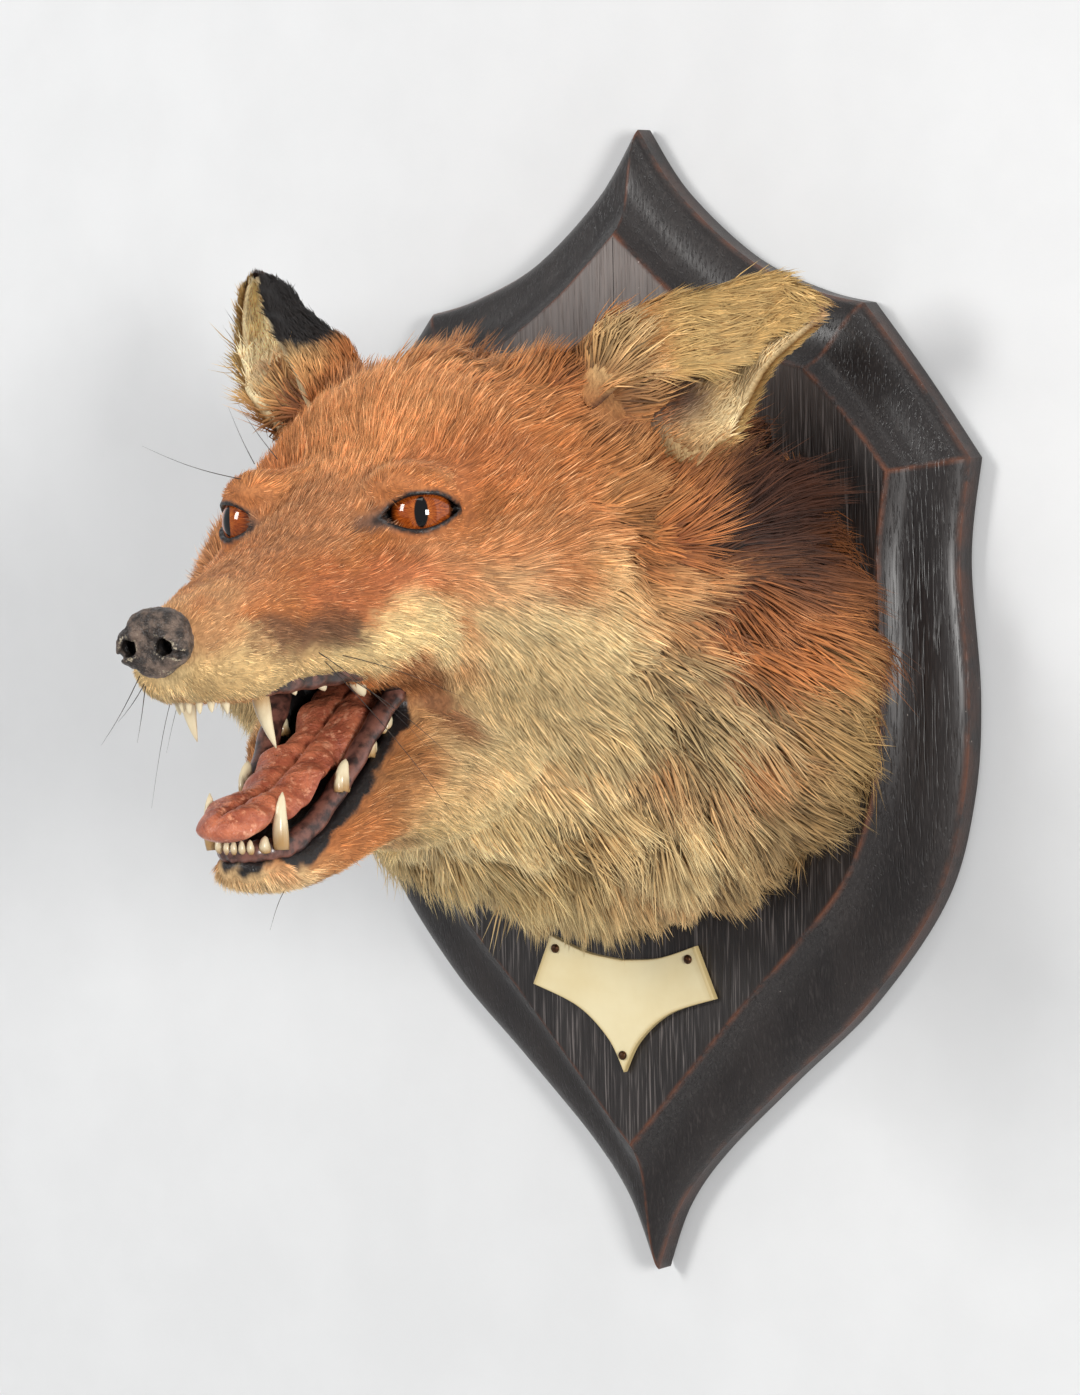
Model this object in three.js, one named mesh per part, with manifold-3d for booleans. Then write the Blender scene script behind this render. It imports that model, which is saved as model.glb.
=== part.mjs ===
// Fox head mounted on a wall shield. Millimetres, +Z up, the wall is the plane y = 0 and the
// fox looks out along -Y, turned a little towards +X. The origin is the middle of the shield's back.
import * as THREE from "three";
import { mergeVertices } from "three/addons/utils/BufferGeometryUtils.js";
import Module from "manifold-3d";

const wasm = await Module();
wasm.setup();

// ---- driving dimensions ----
const GAP = 0.3; // clearance between pieces that touch
const BIG = 600; // side of the blocks that cut pieces apart
const SHIELD_THICKNESS = 18;
const SHIELD_WALL = 6; // straight outer edge of the shield before the moulding starts
const PLATE_THICKNESS = 1.8;
const PIN = { radius: 1.3, head: 0.9, sides: 8 };
const EYE_RADIUS = 8.2;
const NECK_FRONT = 118; // how far the neck field reaches out from the wall
const HEAD = { origin: [2.9, -140.1, 55.3], yaw: 10, roll: 2.4 };
const CELL = { neck: 13, head: 10.5, muzzle: 5.8, jaw: 6.8, skin: 8 };

// Right half of the shield's outline, back edge (outer) and raised field (inner), from the apex
// round the shoulder and the mitred corner down to the tip. Each span is a smooth curve.
const OUTER = {
  crest: [[0, 152.5], [12.6, 135.6], [34.5, 117.9], [56, 108.8], [71, 105.4]],
  shoulder: [[71, 105.4], [87, 86], [102.4, 65.6]],
  flank: [[102.4, 65.6], [98.9, 40], [101.2, 5], [98.9, -22], [90.2, -48], [68.4, -76],
    [43, -98.5], [20, -119.4], [7.4, -135], [0, -152.5]],
};
const INNER = {
  crest: [[0, 125.2], [9.4, 117], [21.6, 107.2], [42, 95], [60, 89]],
  shoulder: [[60, 89], [72.6, 77], [84.9, 62.8]],
  flank: [[84.9, 62.8], [81.9, 40.2], [82.6, 5], [79, -21], [70.6, -41.6], [55.6, -59],
    [37, -77.6], [17.6, -98.4], [6.5, -110.5], [0, -117.2]],
};
const SPAN_SAMPLES = { crest: 7, shoulder: 3, flank: 14 };
// Moulding profile from the outer wall inwards: [share of the way to the field, depth in y].
const MOULDING = [[0, -SHIELD_WALL], [0.06, -7.8], [0.2, -9.5], [0.42, -10.9], [0.62, -11.8],
  [0.8, -13.3], [0.93, -15.7], [1, -SHIELD_THICKNESS]];

// Name plate, right half seen from the front.
const PLATE = {
  top: [[0, -66.9], [12, -65.6], [24, -61.7]],
  side: [[24, -61.7], [30.1, -75.3]],
  lower: [[30.1, -75.3], [15, -80.4], [5, -88.4], [0, -97]],
  pins: [[-22, -65.2], [22, -65.2], [0, -92.4]],
};

// Neck and ruff out to the coat tips: [distance from the wall, centre x, centre z, half width, half height].
const NECK = [
  [18, 4, 12, 72, 69], [26, 5, 12, 82, 76], [38, 4, 13, 85, 77], [52, 0, 16, 80, 74],
  [68, -5, 21, 68, 69], [84, -7, 26, 60, 66], [100, -7, 29, 54, 61], [118, -4, 33, 48, 54],
];
// Upper head along its own axis: [forward, half width, top, bottom, squareness, pear].
const SKULL = [
  [-92, 47, 35, -62, 2.2, 0.12], [-78, 56, 40, -64, 2.2, 0.16], [-60, 58, 39, -64, 2.1, 0.2],
  [-42, 54, 31.5, -63, 2.1, 0.22], [-26, 46, 23.5, -60, 2.1, 0.22], [-12, 39, 15.5, -52, 2.1, 0.22],
  [0, 34, 8, -46, 2.2, 0.24], [12, 28.5, 1.6, -43, 2.4, 0.26], [25, 23.5, -4, -39.5, 2.8, 0.24],
  [40, 19.2, -8.4, -39.6, 2.9, 0.22], [52, 16.6, -11.4, -40.4, 2.8, 0.2],
  [62, 14.2, -14.6, -41, 2.5, 0.18], [75, 11, -18.4, -38, 2.2, 0.1],
];
const SKULL_END = { front: 75, back: -96, round: 8 };
// Lower jaw along the same axis: [forward, half width, top, bottom, squareness].
const JAW = [
  [-34, 44, -30, -84, 2.2], [-18, 38, -36, -84, 2.2], [-4, 31, -42, -81.5, 2.2],
  [8, 25, -52, -83, 2.2], [18, 20.5, -62, -85.5, 2.3], [28, 17, -70, -87.4, 2.3],
  [39, 13.8, -74.6, -87.4, 2.4], [50, 8.4, -75.6, -84, 2.4],
];
const JAW_END = { front: 50, back: -30, round: 7 };
// Rounded masses blended into the head: centre, radii, blend; each is mirrored about the middle.
const LUMPS = {
  brow: { at: [21, -7, 7], size: [10.5, 13, 7], blend: 8 },
  cheekbone: { at: [27, -14, -13], size: [9, 22, 9], blend: 10 },
  cheekRuff: { at: [42, -40, -24], size: [19, 26, 27], blend: 16 },
  lipPad: { at: [9.5, 55, -31], size: [8, 13, 9], blend: 5 },
  earRoot: { at: [45, -76, 29], size: [17, 20, 19], blend: 12 },
};
// Hollow of the open mouth behind the lips: from the throat to the mouth corners.
const MOUTH = { back: [0, -20, -44], front: [0, 34, -54], radii: [9, 19], blend: 2 };
// Eye ball middle and gaze, and the almond opening of the lids: half length, half height, half depth.
const EYE = { at: [23.4, -6.4, 0], gaze: [0.62, 0.78, 0.04], lids: [11, 6, 9], proud: 10.5, slant: 4 };
const BLEND = { jaw: 7, neck: 14 };
// The jaw piece lies in front of and below two planes through the mouth corner: [point f, u, normal f, u].
const JAW_CUT = { upper: [[8, -45.5], [0.08, 0.997]], rear: [[6, -45.5], [-0.813, 0.583]] };
const MUZZLE_BACK = 16; // the muzzle piece lies in front of this, on the head's axis
const HEAD_BACK = -74; // the head piece ends and the neck piece starts here, on the head's axis

// Ears as curved leaves: base middle, tip, opening direction, half widths, scoop depth.
const EARS = {
  ear_left: { base: [50, -76, 26], tip: [96, -91, 43], open: [0.4, 0.91, 0.05], half: 19, scoop: 14 },
  ear_right: { base: [-44, -66, 28], tip: [-74, -102, 61], open: [-0.85, 0.4, -0.32], half: 20, scoop: 14 },
};
const EAR_WALL = { root: 6, tip: 2.6 };
const EAR_REACH = -122; // the ears end in front of this, on the head's axis
const EAR_GRID = { along: 9, across: 7 };

const NOSE = { at: [0, 77, -25.5], size: [9.8, 7.2, 8.8] };
const NOSTRIL = { at: [4.8, 82.6, -25.5], size: [2.2, 3.4, 2.6] };
const TONGUE = [
  [-16, -40, 11.5, 5.5], [-4, -45.5, 12, 5.5], [10, -54, 12, 5], [26, -62.5, 12, 4.5],
  [38, -67.2, 11.8, 4.2], [46, -68.8, 10.8, 3.8], [51, -68.6, 8, 3.2], [54.5, -68, 3.6, 2.2],
];
const UPPER_GUM = { front: 62.5, back: 8, half: 10.4, thick: 3 };
const GUM_ROOM = 2; // clearance round the gums, which also clears the roots of the teeth
const GUM_SPLAY = 14; // how far the gums spread towards the back
const GUM_STEPS = 10;
const LOWER_GUM = { front: 47.5, back: 4, half: 8.4, thick: 2.7 };
// Teeth on the animal's left, mirrored to the right: root, tip (side, forward, up) and root radius.
const UPPER_TEETH = [
  { root: [1.6, 60.2, -38], tip: [1.6, 61.2, -44.4], radius: 1.5, rings: 1, sides: 5 },
  { root: [4.4, 59, -38], tip: [4.5, 60, -44.4], radius: 1.6, rings: 1, sides: 5 },
  { root: [7, 56.6, -38], tip: [7.4, 57.4, -45.2], radius: 1.8, rings: 1, sides: 5 },
  { root: [10, 47.5, -37], tip: [10.3, 44.5, -52.5], radius: 2.9, rings: 3, sides: 7 },
  { root: [12.4, 34, -36.5], tip: [13, 33, -42.5], radius: 2.2, rings: 1, sides: 5 },
  { root: [14.2, 22, -36.5], tip: [15, 21, -43.5], radius: 2.6, rings: 1, sides: 5 },
];
const LOWER_TEETH = [
  { root: [1.4, 45.6, -76], tip: [1.4, 46.6, -71.4], radius: 1.2, rings: 1, sides: 5 },
  { root: [3.9, 45, -76], tip: [4, 46, -71.2], radius: 1.3, rings: 1, sides: 5 },
  { root: [6.3, 43.8, -76], tip: [6.6, 44.8, -71.2], radius: 1.4, rings: 1, sides: 5 },
  { root: [9.2, 42, -76], tip: [11.6, 42.8, -62.5], radius: 2.4, rings: 3, sides: 7 },
  { root: [12.8, 26, -69.5], tip: [13.6, 24.5, -61.5], radius: 2.5, rings: 1, sides: 5 },
  { root: [14.2, 17.8, -63.4], tip: [15, 15, -55.5], radius: 2.6, rings: 1, sides: 5 },
];

// ---- head frame ----
const turn = new THREE.Matrix4()
  .makeRotationZ(THREE.MathUtils.degToRad(HEAD.yaw))
  .multiply(new THREE.Matrix4().makeRotationY(THREE.MathUtils.degToRad(-HEAD.roll)));
// Columns are the head's side, forward and up axes; forward points away from the wall.
const frame = new THREE.Matrix4()
  .makeTranslation(...HEAD.origin)
  .multiply(turn)
  .multiply(new THREE.Matrix4().makeScale(1, -1, 1));
const toHead = frame.clone().invert();

// ---- small maths ----
const lerp = THREE.MathUtils.lerp;
const clamp = THREE.MathUtils.clamp;

function blendMin(a, b, k) {
  const h = clamp(0.5 + (0.5 * (b - a)) / k, 0, 1);
  return lerp(b, a, h) - k * h * (1 - h);
}

const blendMax = (a, b, k) => -blendMin(-a, -b, k);

// Row of a station table at x, smooth between rows (Catmull-Rom on the row values).
function station(rows, x) {
  const flip = rows[0][0] > rows[rows.length - 1][0];
  const list = flip ? [...rows].reverse() : rows;
  const last = list.length - 1;
  if (x <= list[0][0]) return list[0];
  if (x >= list[last][0]) return list[last];
  let i = 0;
  while (list[i + 1][0] < x) i += 1;
  const [p, q] = [list[i], list[i + 1]];
  const [o, r] = [list[Math.max(i - 1, 0)], list[Math.min(i + 2, last)]];
  const t = (x - p[0]) / (q[0] - p[0]);
  return p.map((v, k) => {
    const m0 = ((q[k] - o[k]) / (q[0] - o[0])) * (q[0] - p[0]);
    const m1 = ((r[k] - v) / (r[0] - p[0])) * (q[0] - p[0]);
    const [t2, t3] = [t * t, t * t * t];
    return v * (2 * t3 - 3 * t2 + 1) + m0 * (t3 - 2 * t2 + t)
      + q[k] * (3 * t2 - 2 * t3) + m1 * (t3 - t2);
  });
}

// Signed size of a point against an oval section; n is the squareness, pear narrows its top.
function section(side, up, half, top, bottom, n, pear = 0) {
  const middle = (top + bottom) / 2;
  const tall = (top - bottom) / 2;
  const v = (up - middle) / tall;
  const w = half * (1 - pear * clamp(v, -1.2, 1.2));
  const reach = (Math.abs(side / w) ** n + Math.abs(v) ** n) ** (1 / n);
  return (reach - 1) * Math.min(w, tall);
}

function ellipsoid(p, at, size) {
  const q = p.map((v, i) => (v - at[i]) / size[i]);
  const k0 = Math.hypot(...q);
  const k1 = Math.hypot(...q.map((v, i) => v / size[i]));
  return k0 < 1e-6 ? -Math.min(...size) : (k0 * (k0 - 1)) / k1;
}

// ---- flesh field, in the head frame ----
function skullField(s, f, u) {
  const [, half, top, bottom, n, pear] = station(SKULL, f);
  let d = section(s, u, half, top, bottom, n, pear);
  d = blendMax(d, f - SKULL_END.front, SKULL_END.round);
  d = blendMax(d, SKULL_END.back - f, SKULL_END.round);
  for (const lump of Object.values(LUMPS))
    d = blendMin(d, ellipsoid([Math.abs(s), f, u], lump.at, lump.size), lump.blend);
  return d;
}

function jawField(s, f, u) {
  const [, half, top, bottom, n] = station(JAW, f);
  let d = section(s, u, half, top, bottom, n);
  d = blendMax(d, f - JAW_END.front, JAW_END.round);
  return blendMax(d, JAW_END.back - f, JAW_END.round);
}

function neckField(x, y, z) {
  const [, cx, cz, half, tall] = station(NECK, -y);
  const d = section(x - cx, z, half, cz + tall, cz - tall, 2.15);
  return blendMax(d, -y - NECK_FRONT, 20);
}

function mouthField(s, f, u) {
  const [, f0, u0] = MOUTH.back;
  const [, f1, u1] = MOUTH.front;
  const t = clamp(((f - f0) * (f1 - f0) + (u - u0) * (u1 - u0)) / ((f1 - f0) ** 2 + (u1 - u0) ** 2), 0, 1);
  return Math.hypot(s, f - lerp(f0, f1, t), u - lerp(u0, u1, t)) - lerp(...MOUTH.radii, t);
}

const headPoint = new THREE.Vector3();

function fleshField(s, f, u) {
  headPoint.set(s, f, u).applyMatrix4(frame);
  let d = blendMin(skullField(s, f, u), jawField(s, f, u), BLEND.jaw);
  d = blendMin(d, neckField(headPoint.x, headPoint.y, headPoint.z), BLEND.neck);
  return blendMax(d, -mouthField(s, f, u), MOUTH.blend);
}

// ---- meshing ----
// The 12 edges of a cell as [corner, axis bit], and its 6 faces as lists of edge numbers.
const CELL_EDGES = [0, 1, 2, 3, 4, 5, 6, 7].flatMap((a) =>
  [1, 2, 4].filter((bit) => !(a & bit)).map((bit) => [a, bit]));
const CELL_FACES = [1, 2, 4].flatMap((bit) => [0, bit].map((side) =>
  CELL_EDGES.flatMap(([a, b], e) => (b !== bit && (a & bit) === side ? [e] : []))));

// Groups a cell's crossed edges into the separate sheets of surface that pass through it.
function cellSheets(inside) {
  const sheet = CELL_EDGES.map(([a, bit], e) => (inside[a] !== inside[a | bit] ? e : -1));
  const join = (p, q) => {
    const [from, to] = [sheet[p], sheet[q]];
    sheet.forEach((v, e) => { if (v === from) sheet[e] = to; });
  };
  for (const face of CELL_FACES) {
    const cut = face.filter((e) => sheet[e] >= 0);
    if (cut.length === 2) join(...cut);
    if (cut.length < 4) continue;
    const corners = new Set(face.flatMap((e) => [CELL_EDGES[e][0], CELL_EDGES[e][0] | CELL_EDGES[e][1]]));
    for (const c of corners)
      if (inside[c]) join(...face.filter((e) => CELL_EDGES[e][0] === c || (CELL_EDGES[e][0] | CELL_EDGES[e][1]) === c));
  }
  return sheet;
}

// Surface nets: one vertex per sheet in each crossed cell, one quad per crossed grid edge.
function netMesh(field, low, high, cell) {
  const n = low.map((v, i) => Math.ceil((high[i] - v) / cell) + 1);
  const at = (i, j, k) => i + n[0] * (j + n[1] * k);
  const values = new Float64Array(n[0] * n[1] * n[2]);
  const each = (from, visit) => {
    for (let k = from; k < n[2] - 1; k += 1)
      for (let j = from; j < n[1] - 1; j += 1)
        for (let i = from; i < n[0] - 1; i += 1) visit(i, j, k);
  };
  for (let k = 0; k < n[2]; k += 1)
    for (let j = 0; j < n[1]; j += 1)
      for (let i = 0; i < n[0]; i += 1)
        values[at(i, j, k)] = field(low[0] + i * cell, low[1] + j * cell, low[2] + k * cell);
  const cells = new Map();
  const points = [];
  each(0, (i, j, k) => {
    const value = [0, 1, 2, 3, 4, 5, 6, 7].map((c) => values[at(i + (c & 1), j + ((c >> 1) & 1), k + (c >> 2))]);
    const inside = value.map((v) => v < 0);
    if (inside.every((v) => v === inside[0])) return;
    const sheet = cellSheets(inside);
    const vertex = new Map();
    for (const id of new Set(sheet.filter((v) => v >= 0))) {
      const hits = CELL_EDGES.filter((_, e) => sheet[e] === id).map(([a, bit]) => {
        const t = value[a] / (value[a] - value[a | bit]);
        return [0, 1, 2].map((m) => ((a >> m) & 1) + (bit === 1 << m ? t : 0));
      });
      vertex.set(id, points.length / 3);
      [i, j, k].forEach((c, m) =>
        points.push(low[m] + (c + hits.reduce((sum, h) => sum + h[m], 0) / hits.length) * cell));
    }
    cells.set(at(i, j, k), sheet.map((id) => vertex.get(id)));
  });
  const faces = [];
  const steps = [[1, 0, 0], [0, 1, 0], [0, 0, 1]];
  const edgeNumber = (corner, bit) => CELL_EDGES.findIndex(([a, b]) => a === corner && b === bit);
  each(1, (i, j, k) => steps.forEach((d, axis) => {
    const inside = values[at(i, j, k)] < 0;
    if (inside === values[at(i + d[0], j + d[1], k + d[2])] < 0) return;
    const [b, c] = [(axis + 1) % 3, (axis + 2) % 3];
    const corner = ([x, y]) => {
      const own = cells.get(at(...[i, j, k].map((v, m) => v - x * steps[b][m] - y * steps[c][m])));
      return own[edgeNumber((x << b) | (y << c), 1 << axis)];
    };
    const quad = [[1, 1], [0, 1], [0, 0], [1, 0]].map(corner);
    if (!inside) quad.reverse();
    faces.push(quad[0], quad[1], quad[2], quad[0], quad[2], quad[3]);
  }));
  return new THREE.BufferGeometry()
    .setAttribute("position", new THREE.Float32BufferAttribute(points, 3))
    .setIndex(faces);
}

// Skins a stack of closed rings, each the same number of points, and caps both ends. The caps fan
// from the ring's middle, or are cut into triangles in the x, z plane where flat is set.
function ringMesh(rings, flat = false) {
  const count = rings[0].length;
  const points = rings.flat();
  const faces = [];
  for (let r = 0; r < rings.length - 1; r += 1)
    for (let i = 0; i < count; i += 1) {
      const [a, b] = [r * count + i, r * count + ((i + 1) % count)];
      faces.push(a, b, b + count, a, b + count, a + count);
    }
  for (const [start, out] of [[0, false], [(rings.length - 1) * count, true]]) {
    const middle = points.length;
    const ring = points.slice(start, start + count);
    if (flat) {
      const loop = ring.map(([x, , z]) => new THREE.Vector2(x, z));
      for (const [a, b, c] of THREE.ShapeUtils.triangulateShape(loop, []))
        faces.push(...(out ? [start + a, start + c, start + b] : [start + a, start + b, start + c]));
      continue;
    }
    points.push([0, 1, 2].map((k) => ring.reduce((sum, p) => sum + p[k], 0) / count));
    for (let i = 0; i < count; i += 1) {
      const [a, b] = [start + i, start + ((i + 1) % count)];
      faces.push(...(out ? [a, b, middle] : [b, a, middle]));
    }
  }
  return new THREE.BufferGeometry()
    .setAttribute("position", new THREE.Float32BufferAttribute(points.flat(), 3))
    .setIndex(faces);
}

function solid(geometry) {
  const bare = new THREE.BufferGeometry()
    .setAttribute("position", geometry.getAttribute("position"))
    .setIndex(geometry.index);
  const merged = mergeVertices(bare, 1e-4);
  const made = new wasm.Manifold(new wasm.Mesh({
    numProp: 3,
    vertProperties: new Float32Array(merged.attributes.position.array),
    triVerts: new Uint32Array(merged.index.array),
  }));
  if (made.volume() >= 0) return made;
  const flipped = merged.index.array.slice();
  for (let i = 0; i < flipped.length; i += 3) [flipped[i], flipped[i + 1]] = [flipped[i + 1], flipped[i]];
  return new wasm.Manifold(new wasm.Mesh({
    numProp: 3,
    vertProperties: new Float32Array(merged.attributes.position.array),
    triVerts: new Uint32Array(flipped),
  }));
}

// The largest closed body of a solid, as three.js geometry.
function geometryOf(body) {
  const largest = body.decompose().sort((a, b) => b.volume() - a.volume())[0];
  const mesh = largest.getMesh();
  return new THREE.BufferGeometry()
    .setAttribute("position", new THREE.BufferAttribute(mesh.vertProperties.slice(), 3))
    .setIndex(new THREE.BufferAttribute(mesh.triVerts.slice(), 1));
}

const union = (list) => list.reduce((a, b) => a.add(b));
const mirror = (p) => [-p[0], p[1], p[2]];

// ---- shield ----
function spanPoints(points, samples) {
  const curve = new THREE.SplineCurve(points.map(([x, z]) => new THREE.Vector2(x, z)));
  return curve.getSpacedPoints(samples).map((p) => [p.x, p.y]);
}

// Closed outline from the apex down the right side and up the left.
function outline(spans) {
  const right = [];
  for (const [name, samples] of Object.entries(SPAN_SAMPLES))
    right.push(...spanPoints(spans[name], samples).slice(right.length ? 1 : 0));
  const left = right.slice(1, -1).reverse().map(([x, z]) => [-x, z]);
  return [...right, ...left];
}

function shield() {
  const [outer, inner] = [outline(OUTER), outline(INNER)];
  const ring = ([share, y]) =>
    outer.map(([x, z], i) => [lerp(x, inner[i][0], share), y, lerp(z, inner[i][1], share)]);
  return solid(ringMesh([ring([0, 0]), ...MOULDING.map(ring)], true));
}

function plate() {
  const right = [...spanPoints(PLATE.top, 4), ...spanPoints(PLATE.side, 1).slice(1),
    ...spanPoints(PLATE.lower, 6).slice(1)];
  const loop = [...right, ...right.slice(1, -1).reverse().map(([x, z]) => [-x, z])];
  const back = -SHIELD_THICKNESS - GAP;
  const ring = (y, shrink) => loop.map(([x, z]) => [x * shrink, y, (z + 78) * shrink - 78]);
  return solid(ringMesh([ring(back, 1), ring(back - PLATE_THICKNESS + 0.4, 1),
    ring(back - PLATE_THICKNESS, 0.985)], true));
}

function pin(x, z) {
  const face = -SHIELD_THICKNESS - GAP - PLATE_THICKNESS - GAP;
  const ring = (y, r) => Array.from({ length: PIN.sides }, (_, i) => {
    const a = (i / PIN.sides) * 2 * Math.PI;
    return [x + r * Math.cos(a), y, z + r * Math.sin(a)];
  });
  return solid(ringMesh([ring(face, PIN.radius), ring(face - PIN.head * 0.55, PIN.radius * 0.85),
    ring(face - PIN.head, PIN.radius * 0.4)]));
}

// ---- ears ----
// A curved leaf: outer skin rows and inner skin rows joined along the rim.
function ear({ base, tip, open, half, scoop }) {
  const root = new THREE.Vector3(...base);
  const axis = new THREE.Vector3(...tip).sub(root);
  const length = axis.length();
  axis.normalize();
  const mouth = new THREE.Vector3(...open);
  mouth.addScaledVector(axis, -mouth.dot(axis)).normalize();
  const across = axis.clone().cross(mouth);
  const { along, across: wide } = EAR_GRID;
  const rings = [];
  for (let i = 0; i <= along; i += 1) {
    const h = lerp(-0.2, 1, i / along);
    const rise = clamp(h, 0, 1);
    const rootTaper = 1 + 2 * Math.min(h, 0);
    const w = half * (1 - rise ** 2.2) ** 0.75 * (1 + 0.1 * Math.sin(Math.PI * rise)) * rootTaper + 1.6;
    const deep = scoop * (1 - rise) ** 0.6 + 2.5 * (1 - rise ** 6);
    const wall = lerp(EAR_WALL.root, EAR_WALL.tip, rise);
    const row = (inset) => Array.from({ length: wide + 1 }, (_, j) => {
      const a = lerp(-1, 1, j / wide) * 0.5 * Math.PI;
      const side = (w - inset * 0.7) * Math.sin(a);
      const back = -(deep * Math.cos(a)) + inset;
      return root.clone().addScaledVector(axis, h * length)
        .addScaledVector(across, side).addScaledVector(mouth, back).toArray();
    });
    rings.push([...row(0), ...row(wall).reverse()]);
  }
  return solid(ringMesh(rings));
}

// ---- mouth ----
// A horseshoe of gum behind the lips, as rings along its path.
function gum({ front, back, half, thick }, height, grow) {
  const rings = [];
  for (let i = 0; i <= GUM_STEPS; i += 1) {
    const a = lerp(-1, 1, i / GUM_STEPS);
    const bend = Math.abs(a);
    const forward = bend < 0.45 ? front - thick - (bend / 0.45) ** 2 * 9
      : lerp(front - thick - 9, back, (bend - 0.45) / 0.55);
    const side = bend < 0.45 ? half * Math.sin((bend / 0.45) * 1.25) / Math.sin(1.25)
      : half + (bend - 0.45) * GUM_SPLAY;
    const r = thick + grow;
    const radial = new THREE.Vector3(Math.sign(a) * Math.min(bend / 0.45, 1), Math.max(1 - bend / 0.45, 0.15), 0)
      .normalize();
    const middle = [Math.sign(a) * side, forward, height(forward)];
    rings.push(Array.from({ length: 6 }, (_, j) => {
      const t = (j / 6) * 2 * Math.PI;
      return [middle[0] + radial.x * r * Math.cos(t), middle[1] + radial.y * r * Math.cos(t),
        middle[2] + r * Math.sin(t)];
    }));
  }
  return solid(ringMesh(rings));
}

// A curved cone, its root sunk in the gum.
function tooth({ root, tip, radius, rings, sides }, grow) {
  const [a, b] = [new THREE.Vector3(...root), new THREE.Vector3(...tip)];
  const axis = b.clone().sub(a).normalize();
  a.addScaledVector(axis, -grow);
  b.addScaledVector(axis, grow);
  const x = new THREE.Vector3(0, 1, 0).cross(axis).normalize();
  const y = axis.clone().cross(x);
  const list = [];
  for (let i = 0; i <= rings; i += 1) {
    const t = i / rings;
    const r = radius * (1 - 0.82 * t ** 1.3) + grow;
    const middle = a.clone().lerp(b, t).addScaledVector(y, radius * 0.5 * Math.sin(Math.PI * t));
    list.push(Array.from({ length: sides }, (_, j) => {
      const q = (j / sides) * 2 * Math.PI;
      return middle.clone().addScaledVector(x, r * Math.cos(q)).addScaledVector(y, r * Math.sin(q)).toArray();
    }));
  }
  return solid(ringMesh(list));
}

function teeth(list, grow = 0) {
  return list.flatMap((one) =>
    [tooth(one, grow), tooth({ ...one, root: mirror(one.root), tip: mirror(one.tip) }, grow)]);
}

function tongue(grow) {
  const rings = [];
  for (let i = 0; i <= 11; i += 1) {
    const forward = lerp(TONGUE[0][0], TONGUE[TONGUE.length - 1][0], i / 11);
    const [, up, half, thick] = station(TONGUE, forward);
    rings.push(Array.from({ length: 10 }, (_, j) => {
      const a = (j / 10) * 2 * Math.PI;
      const side = Math.cos(a);
      return [(half + grow) * side, forward, up + (thick * 0.5 + grow) * Math.sin(a) + 1.2 * side * side];
    }));
  }
  if (grow) rings.push(rings[rings.length - 1].map(([s, f, u]) => [s * 0.9, f + grow, u]));
  return solid(ringMesh(rings));
}

const upperLine = (forward) => lerp(-35.5, -37.5, clamp((forward - 8) / 60, 0, 1));
const lowerLine = (forward) => station(JAW, forward)[2] - 1.5;

// ---- pieces ----
function ball(at, radii, grow = 0, detail = [12, 9]) {
  const g = new THREE.SphereGeometry(1, ...detail);
  g.scale(...radii.map((r) => r + grow)).translate(...at);
  return solid(g);
}

// The almond cut that opens the lids in front of an eye; side is 1 for the left, -1 for the right.
function lidCut(side) {
  const gaze = new THREE.Vector3(...EYE.gaze).normalize();
  const up = new THREE.Vector3(0, 0, 1);
  const long = up.clone().cross(gaze).normalize();
  const basis = new THREE.Matrix4().makeBasis(long, gaze.clone().cross(long), gaze);
  const g = new THREE.SphereGeometry(1, 12, 8);
  g.scale(...EYE.lids).rotateZ(THREE.MathUtils.degToRad(-EYE.slant)).applyMatrix4(basis);
  g.translate(...new THREE.Vector3(...EYE.at).addScaledVector(gaze, EYE.proud).toArray());
  g.scale(side, 1, 1);
  return solid(g);
}

function nose(grow) {
  const body = ball(NOSE.at, NOSE.size, grow, [12, 9]);
  if (grow) return body;
  const holes = [NOSTRIL.at, mirror(NOSTRIL.at)].map((at) => ball(at, NOSTRIL.size, 0, [8, 6]));
  return holes.reduce((a, b) => a.subtract(b), body);
}

// Everything behind a plane in the head frame; the plane faces along [forward, up] through a point.
function halfSpace([forward, up], [normalForward, normalUp], offset) {
  const normal = new THREE.Vector3(0, normalForward, normalUp).normalize();
  const g = new THREE.BoxGeometry(BIG, BIG, BIG);
  g.translate(0, 0, offset - BIG / 2);
  g.applyQuaternion(new THREE.Quaternion().setFromUnitVectors(new THREE.Vector3(0, 0, 1), normal));
  g.translate(0, forward, up);
  return g;
}

const inFrontOf = (forward, offset = 0) => solid(halfSpace([forward, 0], [-1, 0], offset));
const behind = (forward, offset = 0) => solid(halfSpace([forward, 0], [1, 0], offset));
const jawBlock = (offset) => solid(halfSpace(...JAW_CUT.upper, offset))
  .intersect(solid(halfSpace(...JAW_CUT.rear, offset)));

// A meshed stretch of the flesh between two distances forward, open to be cut square afterwards.
function fleshStretch(back, front, side, [bottom, top], cell) {
  const field = (s, f, u) => Math.max(fleshField(s, f, u), back - 2 * cell - f, f - front - 2 * cell);
  return solid(netMesh(field, [-side, back - 4 * cell, bottom], [side, front + 4 * cell, top], cell));
}

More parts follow.
